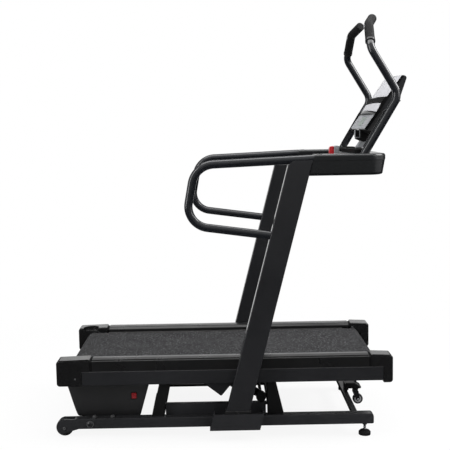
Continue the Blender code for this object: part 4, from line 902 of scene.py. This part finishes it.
def make_handrail(name, side):
    """One bent tube, from the upright back and up and forward into the tray."""
    y = side * HANDRAIL_Y
    start = leaning(UPRIGHT_REAR, UPRIGHT_BOTTOM, HANDRAIL_LOW[0]) + 0.018
    end = tray_rear(TRAY_SEAM) + 0.040
    lower, lower_round = HANDRAIL_LOWER_BEND
    upper, upper_round = HANDRAIL_UPPER_BEND
    path = bent([
        (start, y, handrail_z(HANDRAIL_LOW, start), 0),
        (lower, y, handrail_z(HANDRAIL_LOW, lower), lower_round),
        (upper, y, handrail_z(HANDRAIL_TOP, upper), upper_round),
        (end, y, handrail_z(HANDRAIL_TOP, end), 0),
    ])
    bar = tube(path, HANDRAIL_RADIUS)
    finished(f"handrail_tube_{name}", bar, TUBE_PAINT, stands_for=[f"handrail_{name}"])


def tray_outline(inset):
    """The tray's plan: two arms and a bowed bridge across the front."""
    out = TRAY_OUT - inset
    inner = TRAY_IN + inset
    front = TRAY_FRONT - inset
    corner = TRAY_CORNER - inset
    bow = BRIDGE_REAR - BRIDGE_BOW + inset
    return rounded([
        (TRAY_REAR, -out, 0), (front, -out, corner), (front, out, corner), (TRAY_REAR, out, 0),
        (TRAY_REAR, inner, 0), (BRIDGE_REAR + inset, inner, 0.040), (bow, BRIDGE_FLAT, BRIDGE_ROUND),
        (bow, -BRIDGE_FLAT, BRIDGE_ROUND), (BRIDGE_REAR + inset, -inner, 0.040), (TRAY_REAR, -inner, 0),
    ], 12)


def fitted_tray(mesh, draft):
    """The arms' ends follow the uprights' lean, and the front wall draws back towards its lower edge."""
    start = TRAY_FRONT - TRAY_CORNER
    for vertex in mesh.verts:
        if vertex.co.x < TRAY_REAR + 0.005:
            vertex.co.x = tray_rear(vertex.co.z)
        if draft and vertex.co.x > start and vertex.co.z < TRAY_SEAM - TRAY_LIP:
            vertex.co.x -= TRAY_DRAFT * (vertex.co.x - start) / TRAY_CORNER
    return mesh


def make_tray():
    """Moulded tray in two halves, with a raised bridge that carries the console."""
    size = TRAY_FOOT_ROUND
    levels = []
    for turn in QUARTER:
        levels.append((TRAY_LIP + size * (1 - math.sin(turn)), TRAY_BOTTOM + size * (1 - math.cos(turn))))
    shell = stacked([(tray_outline(inset), z) for inset, z in levels + [(TRAY_LIP, TRAY_SEAM - 0.001)]])
    finished("tray_shell", fitted_tray(shell, True), TRAY_PLASTIC, stands_for=["console_tray"])
    size = TRAY_LID_ROUND
    levels = [(size * (1 - math.cos(turn)), TRAY_TOP - size * (1 - math.sin(turn))) for turn in QUARTER]
    lid = stacked([(tray_outline(inset), z) for inset, z in [(0, TRAY_SEAM)] + levels])
    finished("tray_lid", fitted_tray(lid, False), TRAY_PLASTIC)
    rear = BRIDGE_REAR + 0.008
    front = TRAY_FRONT - 0.052
    bow = rear - BRIDGE_BOW
    bridge = rounded([
        (rear, -BRIDGE_HALF, 0.030), (front, -BRIDGE_HALF, 0.050), (front, BRIDGE_HALF, 0.050),
        (rear, BRIDGE_HALF, 0.030), (bow, BRIDGE_FLAT, BRIDGE_ROUND), (bow, -BRIDGE_FLAT, BRIDGE_ROUND),
    ], 10)
    finished("tray_bridge", prism(bridge, "Z", TRAY_TOP - 0.006, BRIDGE_TOP), DULL_PLASTIC, edge=0.004)


def grip_line(side):
    """The bar's upper bend, the grip's bend and the grip's end, on one side."""
    points = ((BAR_BEND[0], BAR_Y, BAR_BEND[1]), GRIP_BEND, GRIP_END)
    return [Vector((x, side * y, z)) for x, y, z in points]


def make_push_bar(name, side):
    """Bent tube from the tray up to the grip, with the console's mounting flange along its lower leg."""
    y = side * BAR_Y
    bend, grip, _ = grip_line(side)
    tip = bend + (grip - bend).normalized() * (GRIP_START + GRIP_SOCKET - 0.002)
    path = bent([
        (BAR_FOOT[0], y, BAR_FOOT[1], 0), (BAR_ELBOW[0], y, BAR_ELBOW[1], BAR_ELBOW[2]),
        (BAR_BEND[0], y, BAR_BEND[1], BAR_BEND[2]), (*tip, 0),
    ])
    finished(f"push_bar_tube_{name}", tube(path, BAR_RADIUS), TUBE_PAINT, stands_for=[f"push_bar_{name}"])
    leg = Vector((BAR_ELBOW[0] - BAR_FOOT[0], BAR_ELBOW[1] - BAR_FOOT[1])).normalized()
    rear = Vector((-leg.y, leg.x))
    foot = Vector(BAR_FOOT) + leg * FLANGE_ENDS[0]
    head = Vector(BAR_FOOT) + leg * FLANGE_ENDS[1]
    plate = rounded([
        (*foot, 0), (*head, 0), (*(head + rear * FLANGE_REACH - leg * 0.020), 0.012),
        (*(foot + rear * FLANGE_REACH + leg * 0.0195), 0.004),
    ])
    inner = BEAM_HALF + GAP
    flange = prism(plate, "Y", *band(side, inner, inner + FLANGE_PLATE))
    finished(f"push_bar_flange_{name}", flange, FRAME_PAINT, edge=0.0022)


def make_grip(name, side):
    """Rubber grip that leans in and hooks forward, with a seat for its thumb key and a cuff at its foot."""
    bar, bend, end = grip_line(side)
    up = (bend - bar).normalized()
    start = bar + up * GRIP_START
    path = bent([(*start, 0), (*bend, 0.070), (*end, 0)])
    low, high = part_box(f"grip_key_{name}")
    play = 0.0006
    across, up_down = (low.y - play, high.y + play), (low.z - play, high.z + play)
    seat = block((low.x - CLEAR, high.x + 0.0025), across, up_down)
    bmesh.ops.transform(seat, matrix=MACHINE.inverted(), verts=seat.verts)
    finished(f"grip_sleeve_{name}", tube(path, GRIP_RADIUS, 0.005), GRIP_RUBBER,
             stands_for=[f"push_grip_{name}"], cuts=[seat])
    cuff = tube([start - up * 0.0005, start + up * 0.006, start + up * 0.0125], GRIP_RADIUS + 0.0012, 0.002)
    finished(f"grip_cuff_{name}", cuff, MOULDING)


# Console

def face_matrix():
    """From (up the face, across, out of the face) to the machine frame."""
    up = Vector((math.sin(FACE_ANGLE), 0, math.cos(FACE_ANGLE)))
    out = Vector((-math.cos(FACE_ANGLE), 0, math.sin(FACE_ANGLE)))
    rows = zip(up, (0, 1, 0), out, (FACE_FOOT[0], 0, FACE_FOOT[1]))
    return Matrix([*rows, (0, 0, 0, 1)])


ON_FACE = MACHINE @ face_matrix()


def across_face(half, steps):
    """Places across the face, each with a bulge that is one in the middle and nought at both ends."""
    places = [half * (2 * step / steps - 1) for step in range(steps + 1)]
    return [(y, 1 - (y / half) ** 2) for y in places]


def face_lip(span, ends, middle, arch, foot=None):
    """A lip across the face. It stands out further in its middle than at its ends, and may arch upwards.

    With a foot, it is a ramp instead: its lower edge is straight and stands out only that far.
    """
    root = -0.004
    corner = 0.001 if foot else 0.004
    mesh = bmesh.new()
    rings = []
    for y, bulge in across_face(FACE_HALF, 48):
        out = ends + (middle - ends) * bulge
        high = span[1] + arch * bulge
        low = span[0] if foot else span[0] + arch * bulge
        edge = rounded([(low, root, 0), (high, root, 0), (high, out, corner), (low, foot or out, corner)], 5)
        rings.append([mesh.verts.new((u, y, w)) for u, w in edge])
    return skinned(mesh, rings)


def arched_plate(span, arches, out):
    """A plate across the face whose lower and upper edges follow the shelf's arch."""
    places = across_face(FACE_HALF - 0.002, 32)
    lower, upper = [[(edge + arch * bulge, y) for y, bulge in places] for edge, arch in zip(span, arches)]
    return prism(lower + upper[::-1], "Z", *out)


def make_trough():
    """Small open-ended trough under the control panel, with a dark block in its channel that is painted
    shade.
    """
    rear, front = TROUGH_X
    low, high = TROUGH_Z
    wall = TROUGH_WALL
    outline = rounded([
        (rear, high, 0), (rear, low, 0.007), (front, low, 0.007), (front, high, 0), (front - wall, high, 0),
        (front - wall, low + wall, 0.003), (rear + wall, low + wall, 0.003), (rear + wall, high, 0),
    ], 5)
    finished("console_trough", prism(outline, "Y", -TROUGH_HALF, TROUGH_HALF), SILVER, edge=0.0006)
    # A dark block that fills the channel: painted shade for the trough's deep inside.
    shade_fill = block((rear + wall - 0.001, front - wall + 0.001), (-TROUGH_HALF + 0.003, TROUGH_HALF - 0.003),
                   (low + wall - 0.001, high - 0.001))
    finished("trough_shade_fill", shade_fill, DULL_PLASTIC)


def make_console():
    """Housing, its beam to the push bars, the face's plates, lips and keys, and the neck on its bracket."""
    shell = rounded(HOUSING)
    finished("console_shell", prism(shell, "Y", -FACE_HALF, FACE_HALF), FRAME_PAINT,
             stands_for=["console_housing"], edge=0.003, setting=ON_FACE)
    bracket = prism(rounded(BRACKET), "Y", -BRACKET_HALF, BRACKET_HALF)
    finished("console_bracket", bracket, DULL_PLASTIC, edge=0.002)
    beam = prism(rectangle(BEAM_SPAN, (-BEAM_HALF, BEAM_HALF), 0), "Z", *BEAM_DEPTH)
    finished("console_beam", beam, DULL_PLASTIC, edge=0.003, setting=ON_FACE)
    finished("console_ledge", face_lip(LEDGE_SPAN, *LEDGE_OUT, 0), MOULDING, setting=ON_FACE)
    finished("tablet_shelf", face_lip(SHELF_SPAN, *SHELF_OUT, SHELF_ARCH), DULL_PLASTIC, setting=ON_FACE)
    rim = []
    for y, _ in across_face(FACE_HALF - 0.003, 24):
        rim.append((FACE_HEIGHT - RIM_ARCH + RIM_ARCH * (1 - (y / FACE_HALF) ** 2), y, 0.0012))
    finished("tablet_rim", tube(rim, RIM_RADIUS, 0.001, 12), CASTER_GREY, setting=ON_FACE)
    finished("console_neck", prism(NECK, "Y", -NECK_HALF, NECK_HALF), SILVER, edge=0.003)
    make_trough()
    for name, node, span, arches, look in (
        ("control_plate", "console_panel", CONTROL_SPAN, (0, 0), SILVER),
        ("tablet_plate", "tablet_panel", TABLET_SPAN, (SHELF_ARCH, 0), PALE_FILM),
    ):
        plate = arched_plate(span, arches, (GAP, PANEL_PLATE))
        finished(name, plate, look, stands_for=[node], edge=0.0012, setting=ON_FACE)
    ramp = face_lip(DISPLAY_SPAN, SHELF_OUT[0] - 0.003, SHELF_OUT[1] - 0.003, SHELF_ARCH, PANEL_PLATE)
    finished("display_plate", ramp, PALE_FILM, stands_for=["display_window"], setting=ON_FACE)
    trim = [(0.000, -0.006), (FACE_HEIGHT - 0.004, -0.006), (FACE_HEIGHT - 0.004, PANEL_PLATE)]
    trim += [(0.179, PANEL_PLATE), (SHELF_SPAN[1], SHELF_OUT[0]), (SHELF_SPAN[0], SHELF_OUT[0])]
    trim += [(0.096, PANEL_PLATE), (0.000, PANEL_PLATE)]
    for name, side in SIDES:
        ends = band(side, FACE_HALF - GAP, FACE_HALF + 0.0015)
        finished(f"face_trim_{name}", prism(trim, "Y", *ends), DULL_PLASTIC, edge=0.0005, setting=ON_FACE)
    make_console_keys()
    make_console_back()


def make_console_keys():
    """Two fields of membrane keys beside a small window on the control plate."""
    for name, side in SIDES:
        rows = [(u, side * y, PANEL_PLATE) for u in KEY_ROWS for y in KEY_COLUMNS]
        pads(f"membrane_keys_{name}", rows, KEY_SIZE, 0.0035, KEY_RISE, CASTER_GREY, ON_FACE)
    middle = [(KEY_ROWS[1], 0, PANEL_PLATE)]
    pads("control_window", middle, (0.050, 0.120), 0.006, KEY_RISE, WINDOW_GREY, ON_FACE)


def make_console_back():
    """Vent ribs and four screws on the back of the housing."""
    back = ON_FACE @ Matrix.Translation((0.1175, 0, -0.0540)) @ Matrix.Rotation(math.radians(184.7), 4, "Y")
    ribs = [(0.070 - 0.0065 * step, 0, 0) for step in range(10)]
    pads("vent_ribs", ribs, (0.003, 0.110), 0.0012, 0.0018, MOULDING, back)
    corners = [((u, y, -0.0005), (0, 0, 1)) for u in (-0.080, 0.080) for y in (-0.190, 0.190)]
    screws("housing_screws", corners, HOUSING_HEAD, setting=back)


# Deck

def make_belt():
    """The running belt, round both rollers, with softly rounded edges."""
    steps = 40
    inner = ROLLER_RADIUS + GAP
    z = BELT_TOP - BELT_THICK - GAP - ROLLER_RADIUS

    def loop(radius):
        rear = arc((ROLLER_REAR, z), radius, 90, 270, steps)
        front = arc((ROLLER_FRONT, z), radius, -90, 90, steps)
        return rear + front

    outer = prism(loop(inner + BELT_THICK), "Y", -BELT_HALF, BELT_HALF)
    hollow = prism(loop(inner), "Y", -BELT_HALF - CLEAR / 2, BELT_HALF + CLEAR / 2)
    finished("belt_loop", outer, BELT, "deck", ["running_belt"], edge=0.0008, segments=2, cuts=[hollow])


def make_foot_rail(name, side):
    """Foot rail: upright outer wall, a groove beside its edge, broad crowned tread and inner skirt."""
    edge = RAIL_OUT - RAIL_EDGE
    points = rounded([
        (RAIL_OUT, RAIL_SEAT, 0), (RAIL_OUT, RAIL_EDGE_TOP, 0.003), (edge, RAIL_EDGE_TOP + 0.0006, 0.001),
        (edge - 0.001, RAIL_GROOVE, 0), (edge - 0.0055, RAIL_GROOVE, 0),
        (edge - 0.0065, RAIL_CREST - 0.002, 0.002), (RAIL_MIDDLE, RAIL_CREST + 0.0004, 0.100),
        (RAIL_BROW, RAIL_CREST - 0.001, 0.012), (RAIL_INNER, 0.3545, 0.006),
        (RAIL_INNER, RAIL_SKIRT, 0), (RAIL_WALL, RAIL_SKIRT, 0), (RAIL_WALL, RAIL_SEAT, 0),
    ], 10)
    section = [(side * y, z) for y, z in points]
    finished(f"foot_rail_tread_{name}", prism(section, "X", *FOOT_RAIL_ENDS), RAIL_PLASTIC, "deck",
             [f"foot_rail_{name}"])
    # A bead along the seam of the web and the foot rail. Its paler coat is a painted highlight on the web's
    # top edge.
    seam = block((REAR_CAP[1] + 0.001, FRONT_CAP[1] - 0.001), band(side, RAIL_OUT - 0.002, RAIL_OUT + 0.0005),
                 (SIDE_TOP - 0.0004, SIDE_TOP + 0.0014))
    finished(f"deck_seam_{name}", seam, BOLT_COAT, "deck", edge=0.0004)
    inset = 0.0022
    points = rounded([
        (RAIL_OUT - inset, RAIL_SEAT, 0), (RAIL_OUT - inset, RAIL_EDGE_TOP - inset, 0.003),
        (RAIL_MIDDLE, RAIL_CREST - inset, 0.100), (RAIL_BROW, RAIL_CREST - inset - 0.001, 0.012),
        (RAIL_INNER + inset, 0.3535, 0.004), (RAIL_INNER + inset, RAIL_SKIRT, 0),
        (RAIL_WALL, RAIL_SKIRT, 0), (RAIL_WALL, RAIL_SEAT, 0),
    ], 10)
    section = [(side * y, z) for y, z in points]
    rear, front = FOOT_RAIL_ENDS
    for place, start, end in (("rear", REAR_CAP[2], rear), ("front", front, FRONT_CAP[2])):
        collar = prism(section, "X", start - OVERLAP, end + OVERLAP)
        finished(f"{place}_collar_{name}", collar, DULL_PLASTIC, "deck")


def make_cap(name, side, bottom, far, lower, near, cuts):
    """End cap: far is its outer end, near its seam with the foot rail, and lower its seam with the web."""
    outline = rounded([
        (far, bottom, CAP_ROUND), (near, bottom, 0), (near, CAP_TOP, 0), (far, CAP_TOP - 0.004, CAP_ROUND),
    ], 10)
    mesh = prism(outline, "Y", *band(side, RAIL_INNER, CAP_OUT))
    beyond = math.copysign(CLEAR, near - far)
    notch = block(sorted((lower, near + beyond)), band(side, RAIL_INNER - CLEAR, CAP_OUT + CLEAR),
                  (bottom - CLEAR, RAIL_SEAT))
    step = block(sorted((far - beyond, near + beyond)), band(side, CAP_STEP, CAP_OUT + CLEAR),
                 (RAIL_EDGE_TOP + 0.0008, CAP_TOP + CLEAR))
    finished(f"{name}_shell", mesh, CAP_PLASTIC, "deck", [name], 0.0035, 1, [notch, step] + cuts)


def make_caps(name, side):
    """The left rear cap has a round scoop in its inner top edge."""
    cuts = []
    if name == "left":
        x, y, radius, floor = SCOOP
        top = CAP_TOP + CLEAR
        cuts = [turned([(0, floor), (radius, floor), (radius, top), (0, top)], "Z", (x, side * y, 0), 72)]
    make_cap(f"rear_cap_{name}", side, CAP_BOTTOM, *REAR_CAP, cuts)
    make_cap(f"front_cap_{name}", side, FRONT_CAP_BOTTOM, *FRONT_CAP, [])


def cover_outline(inset, lift, top):
    """Side view of the motor cover, drawn in by inset, with its floor raised by lift."""
    corners = [(COVER_REAR[0] + inset, top, 0), (COVER_REAR[0] + inset, COVER_TOP, 0)]
    for (upper, lower), bottom, way in ((COVER_REAR, COVER_BOTTOM[0], 1), (COVER_FRONT, COVER_BOTTOM[1], -1)):
        floor = bottom + inset + lift
        x = upper + (lower - upper) * (COVER_TOP - floor) / (COVER_TOP - bottom)
        corners.append((x + way * inset, floor, COVER_CORNER))
    corners += [(COVER_FRONT[0] - inset, COVER_TOP, 0), (COVER_FRONT[0] - inset, top, 0)]
    return rounded(corners, 10)


def cover_body(inset, top):
    """The motor cover's bulk, drawn in by inset. Its sides tuck under towards the floor."""
    tuck, depth = COVER_TUCK
    half = COVER_HALF - inset
    levels = []
    for step in range(10):
        turn = math.radians(10 * step)
        outline = cover_outline(inset, depth * (1 - math.sin(turn)), top)
        levels.append((outline, -half + tuck * (1 - math.cos(turn))))
    mirrored = [(outline, -along) for outline, along in reversed(levels)]
    return stacked(levels + mirrored, "Y")


def switch_frame(play, walls):
    """The room that the mains switch takes up, with some play round it, between two places across."""
    half_x, half_z = SWITCH_SIZE[0] / 2 + play, SWITCH_SIZE[1] / 2 + play
    return (SWITCH[0] - half_x, SWITCH[0] + half_x), walls, (SWITCH[1] - half_z, SWITCH[1] + half_z)


def make_motor_cover():
    """Open-topped moulded cover with a window for the mains switch, and the switch's bezel."""
    outer = cover_body(0, COVER_TOP + 0.0001)
    hollow = cover_body(COVER_WALL, COVER_TOP + CLEAR)
    walls = (-COVER_HALF - CLEAR / 2, -COVER_HALF + CLEAR / 2)
    window = block(*switch_frame(GAP, walls))
    finished("motor_cover_shell", outer, COVER_PLASTIC, "deck", ["motor_cover"], cuts=[hollow, window])
    rim = switch_frame(0.003, walls)
    bezel = prism(rectangle(rim[0], rim[2], 0.003, 4), "Y", -COVER_HALF - 0.0015, -COVER_HALF + 0.001)
    opening = block(*switch_frame(0.0002, walls))
    finished("switch_bezel", bezel, GRIP_RUBBER, "deck", edge=0.0006, cuts=[opening])


# Fasteners

def make_fasteners():
    """Screws and bolts on the base rails, the wheels, the rear caps and the caster's fork."""
    for name, side in SIDES:
        face = side * (RAIL_OUT + 0.001)
        bolt = (RAIL_BOLT[0], face, RAIL_BOLT[1])
        cap = (CAP_SCREW[0], side * CAP_OUT, CAP_SCREW[1])
        axle = (CASTER_AXLE[0], side * CASTER_CHEEK, CASTER_AXLE[1])
        top = [((x, side * (RAIL_OUT - 0.020), RAIL_TOP + 0.003), (0, 0, 1)) for x in TOP_BOLTS]
        out = (0, side, 0)
        for piece, places, size, look, body in (
            ("rail_bolt_washer", [(bolt, out)], WASHER_HEAD, BOLT_COAT, "base"),
            ("rail_bolt", [(bolt, out)], RAIL_HEAD, BASE_PAINT, "base"),
            ("wheel_bolt", [((WHEEL_X, face, WHEEL_Z), out)], WHEEL_HEAD, BOLT_COAT, "base"),
            ("rail_top_bolts", top, TOP_HEAD, BOLT_COAT, "base"),
            ("cap_screw", [(cap, out)], CAP_HEAD, BOLT_COAT, "deck"),
            ("caster_axle", [(axle, out)], AXLE_HEAD, CASTER_GREY, "caster_fork"),
        ):
            screws(f"{piece}_{name}", places, size, look, body)


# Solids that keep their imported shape

KEPT = (
    (BASE_PAINT, "base_rail_right base_rail_left"),
    # The parts under the deck get the darker copy of the frame paint, which is painted shade.
    (UNDER_PAINT_SHADED, "pivot_cross_tube middle_cross_tube front_cross_tube inner_rail_right inner_rail_left "
                  "pivot_post_right pivot_post_left middle_post_right middle_post_left "
                  "deck_subframe lift_frame"),
    (FRAME_PAINT, "deck_side_right deck_side_left"),
    (SILVER, "key_socket"),
    (KEY_RED, "safety_key"),
    (ROCKER_RED, "power_switch"),
    (CASTER_GREY, "grip_key_right grip_key_left"),
    (MOULDING, "caster_fork"),
    (BOARD, "running_deck"),
    (MOTOR_ENAMEL, "drive_motor incline_actuator"),
    (TURNED_STEEL, "motor_rotor drive_axle idler_axle drive_roller idler_roller actuator_rod"),
    (WHEEL_RUBBER, "drive_belt lift_roller"),
)


def dress_kept_solids():
    """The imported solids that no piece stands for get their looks."""
    for look, nodes in KEPT:
        for node in nodes.split():
            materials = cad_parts[node].data.materials
            materials.clear()
            materials.append(look)


# Stage

WHITE = (1.0, 1.0, 1.0, 1.0)
SOFTBOXES = (
    ("top_softbox", (0.0, 0.2, 3.4), (0.0, 0.0, 0.4), (3.0, 1.6), 58),
    ("rear_softbox", (-3.0, -1.7, 2.3), (0.0, 0.0, 1.4), (0.5, 3.6), 54),
    ("front_softbox", (2.9, 0.0, 3.25), (0.6, 0.0, 1.5), (1.7, 1.8), 108),
    ("corner_softbox", (2.6, -1.7, 2.0), (0.6, 0.0, 1.3), (0.9, 1.0), 13),
)


def bare_look(name):
    """A material that has no nodes yet."""
    look = bpy.data.materials.new(name)
    look.use_nodes = True
    look.node_tree.nodes.clear()
    return look, look.node_tree


def seen_rays(tree):
    """One for rays that see or mirror, nought for those that only bring light."""
    path = add(tree, "ShaderNodeLightPath").outputs
    seen = maths(tree, "MAXIMUM", path["Is Camera Ray"], path["Is Glossy Ray"])
    return maths(tree, "MAXIMUM", seen, path["Is Transmission Ray"])


def make_floor():
    """A pale floor that fades into the white round it."""
    mesh = bmesh.new()
    bmesh.ops.create_grid(mesh, x_segments=1, y_segments=1, size=40)
    floor = drawn("floor", mesh)
    look, tree = bare_look("pale_floor")
    reach = add(tree, "ShaderNodeVectorMath", {0: own_place(tree)}, operation="LENGTH").outputs["Value"]
    share = maths(tree, "MULTIPLY", seen_rays(tree), ranged(tree, reach, 0.9, 2.6, 0.90))
    plain = add(tree, "ShaderNodeBsdfDiffuse", {"Color": (0.80, 0.80, 0.80, 1.0)})
    white = add(tree, "ShaderNodeEmission", {"Color": WHITE, "Strength": 1.0})
    surface = add(tree, "ShaderNodeMixShader", {0: share, 1: plain.outputs[0], 2: white.outputs[0]})
    add(tree, "ShaderNodeOutputMaterial", {"Surface": surface.outputs[0]})
    floor.data.materials.append(look)


def make_world():
    """White where it is seen or mirrored, softer as a light."""
    world = bpy.data.worlds.new("studio")
    bpy.context.scene.world = world
    world.use_nodes = True
    tree = world.node_tree
    level = ranged(tree, seen_rays(tree), 0.0, 1.0, 0.55, 1.0)
    fill(tree, tree.nodes["Background"], {"Color": WHITE, "Strength": level})


def make_softbox(name, place, aim, size, power):
    """A rectangular lamp of some watts, turned towards its aim."""
    data = bpy.data.lights.new(name, "AREA")
    data.shape = "RECTANGLE"
    data.size, data.size_y = size
    data.energy = power
    lamp = shown(name, data)
    lamp.location = place
    lamp.rotation_euler = (Vector(aim) - Vector(place)).to_track_quat("-Z", "Y").to_euler()


def dark_cloth(name, mesh, rise, glow):
    """A cloth that only mirrors see, black at the floor and glowing a little once it is as high as rise."""
    cloth = solid(name, mesh)
    look, tree = bare_look(f"{name}_weave")
    height = add(tree, "ShaderNodeSeparateXYZ", {0: own_place(tree)}).outputs["Z"]
    surface = add(tree, "ShaderNodeEmission", {"Strength": ranged(tree, height, 0.0, rise, 0.0, glow)})
    add(tree, "ShaderNodeOutputMaterial", {"Surface": surface.outputs[0]})
    cloth.data.materials.append(look)
    for ray in ("camera", "diffuse", "shadow", "transmission"):
        setattr(cloth, f"visible_{ray}", False)


def make_dark_sweep():
    """A dark sweep on the camera's side, as a studio keeps its own side of the room."""
    floor, wall, top, half, bend = 0.004, -6.0, 4.5, 9.0, 1.2
    profile = [(2.0, floor)] + arc((wall + bend, floor + bend), bend, 270, 180, 12) + [(wall, top)]
    mesh = bmesh.new()
    edges = [[mesh.verts.new((x, y, z)) for y, z in profile] for x in (-half, half)]
    for index in range(len(profile) - 1):
        mesh.faces.new((edges[0][index], edges[1][index], edges[1][index + 1], edges[0][index + 1]))
    dark_cloth("dark_sweep", mesh, bend, 0.35)


def dark_flag(name, near, far, low, high):
    """An upright dark flag between two (x, y) places."""
    mesh = bmesh.new()
    corners = [(*near, low), (*far, low), (*far, high), (*near, high)]
    mesh.faces.new([mesh.verts.new(corner) for corner in corners])
    dark_cloth(name, mesh, 2.0, 0.06)


def make_dark_flags():
    """Dark flags behind the machine, beside and above the white ground, that give tubes a dark outline."""
    for name, side in SIDES:
        dark_flag(f"dark_flag_{name}", (-side * 4.2, 1.1), (-side * 1.7, 3.6), 0.004, 5.0)
    dark_flag("dark_flag_upper", (-4.5, 3.7), (4.5, 3.7), 2.3, 7.0)


def make_camera():
    data = bpy.data.cameras.new("camera")
    data.sensor_width = 36.0
    data.lens = 71.7
    camera = shown("camera", data)
    camera.location = (-0.0576, -4.319, 1.4023)
    camera.rotation_euler = (math.radians(90 - 6.304), 0, math.radians(-0.42))
    bpy.context.scene.camera = camera


def make_stage():
    bpy.context.scene.view_settings.view_transform = "Standard"
    make_floor()
    make_world()
    for name, place, aim, size, power in SOFTBOXES:
        make_softbox(name, place, aim, size, power)
    make_dark_sweep()
    make_dark_flags()
    make_camera()


PAIRED = (
    make_upright, make_wheel, make_foot, make_handrail, make_push_bar, make_grip, make_foot_rail, make_caps,
)
SINGLE = (make_caster, make_tray, make_console, make_belt, make_motor_cover, make_fasteners)

for side_name, side_sign in SIDES:
    for make in PAIRED:
        make(side_name, side_sign)
for make in SINGLE:
    make()
dress_kept_solids()
make_stage()
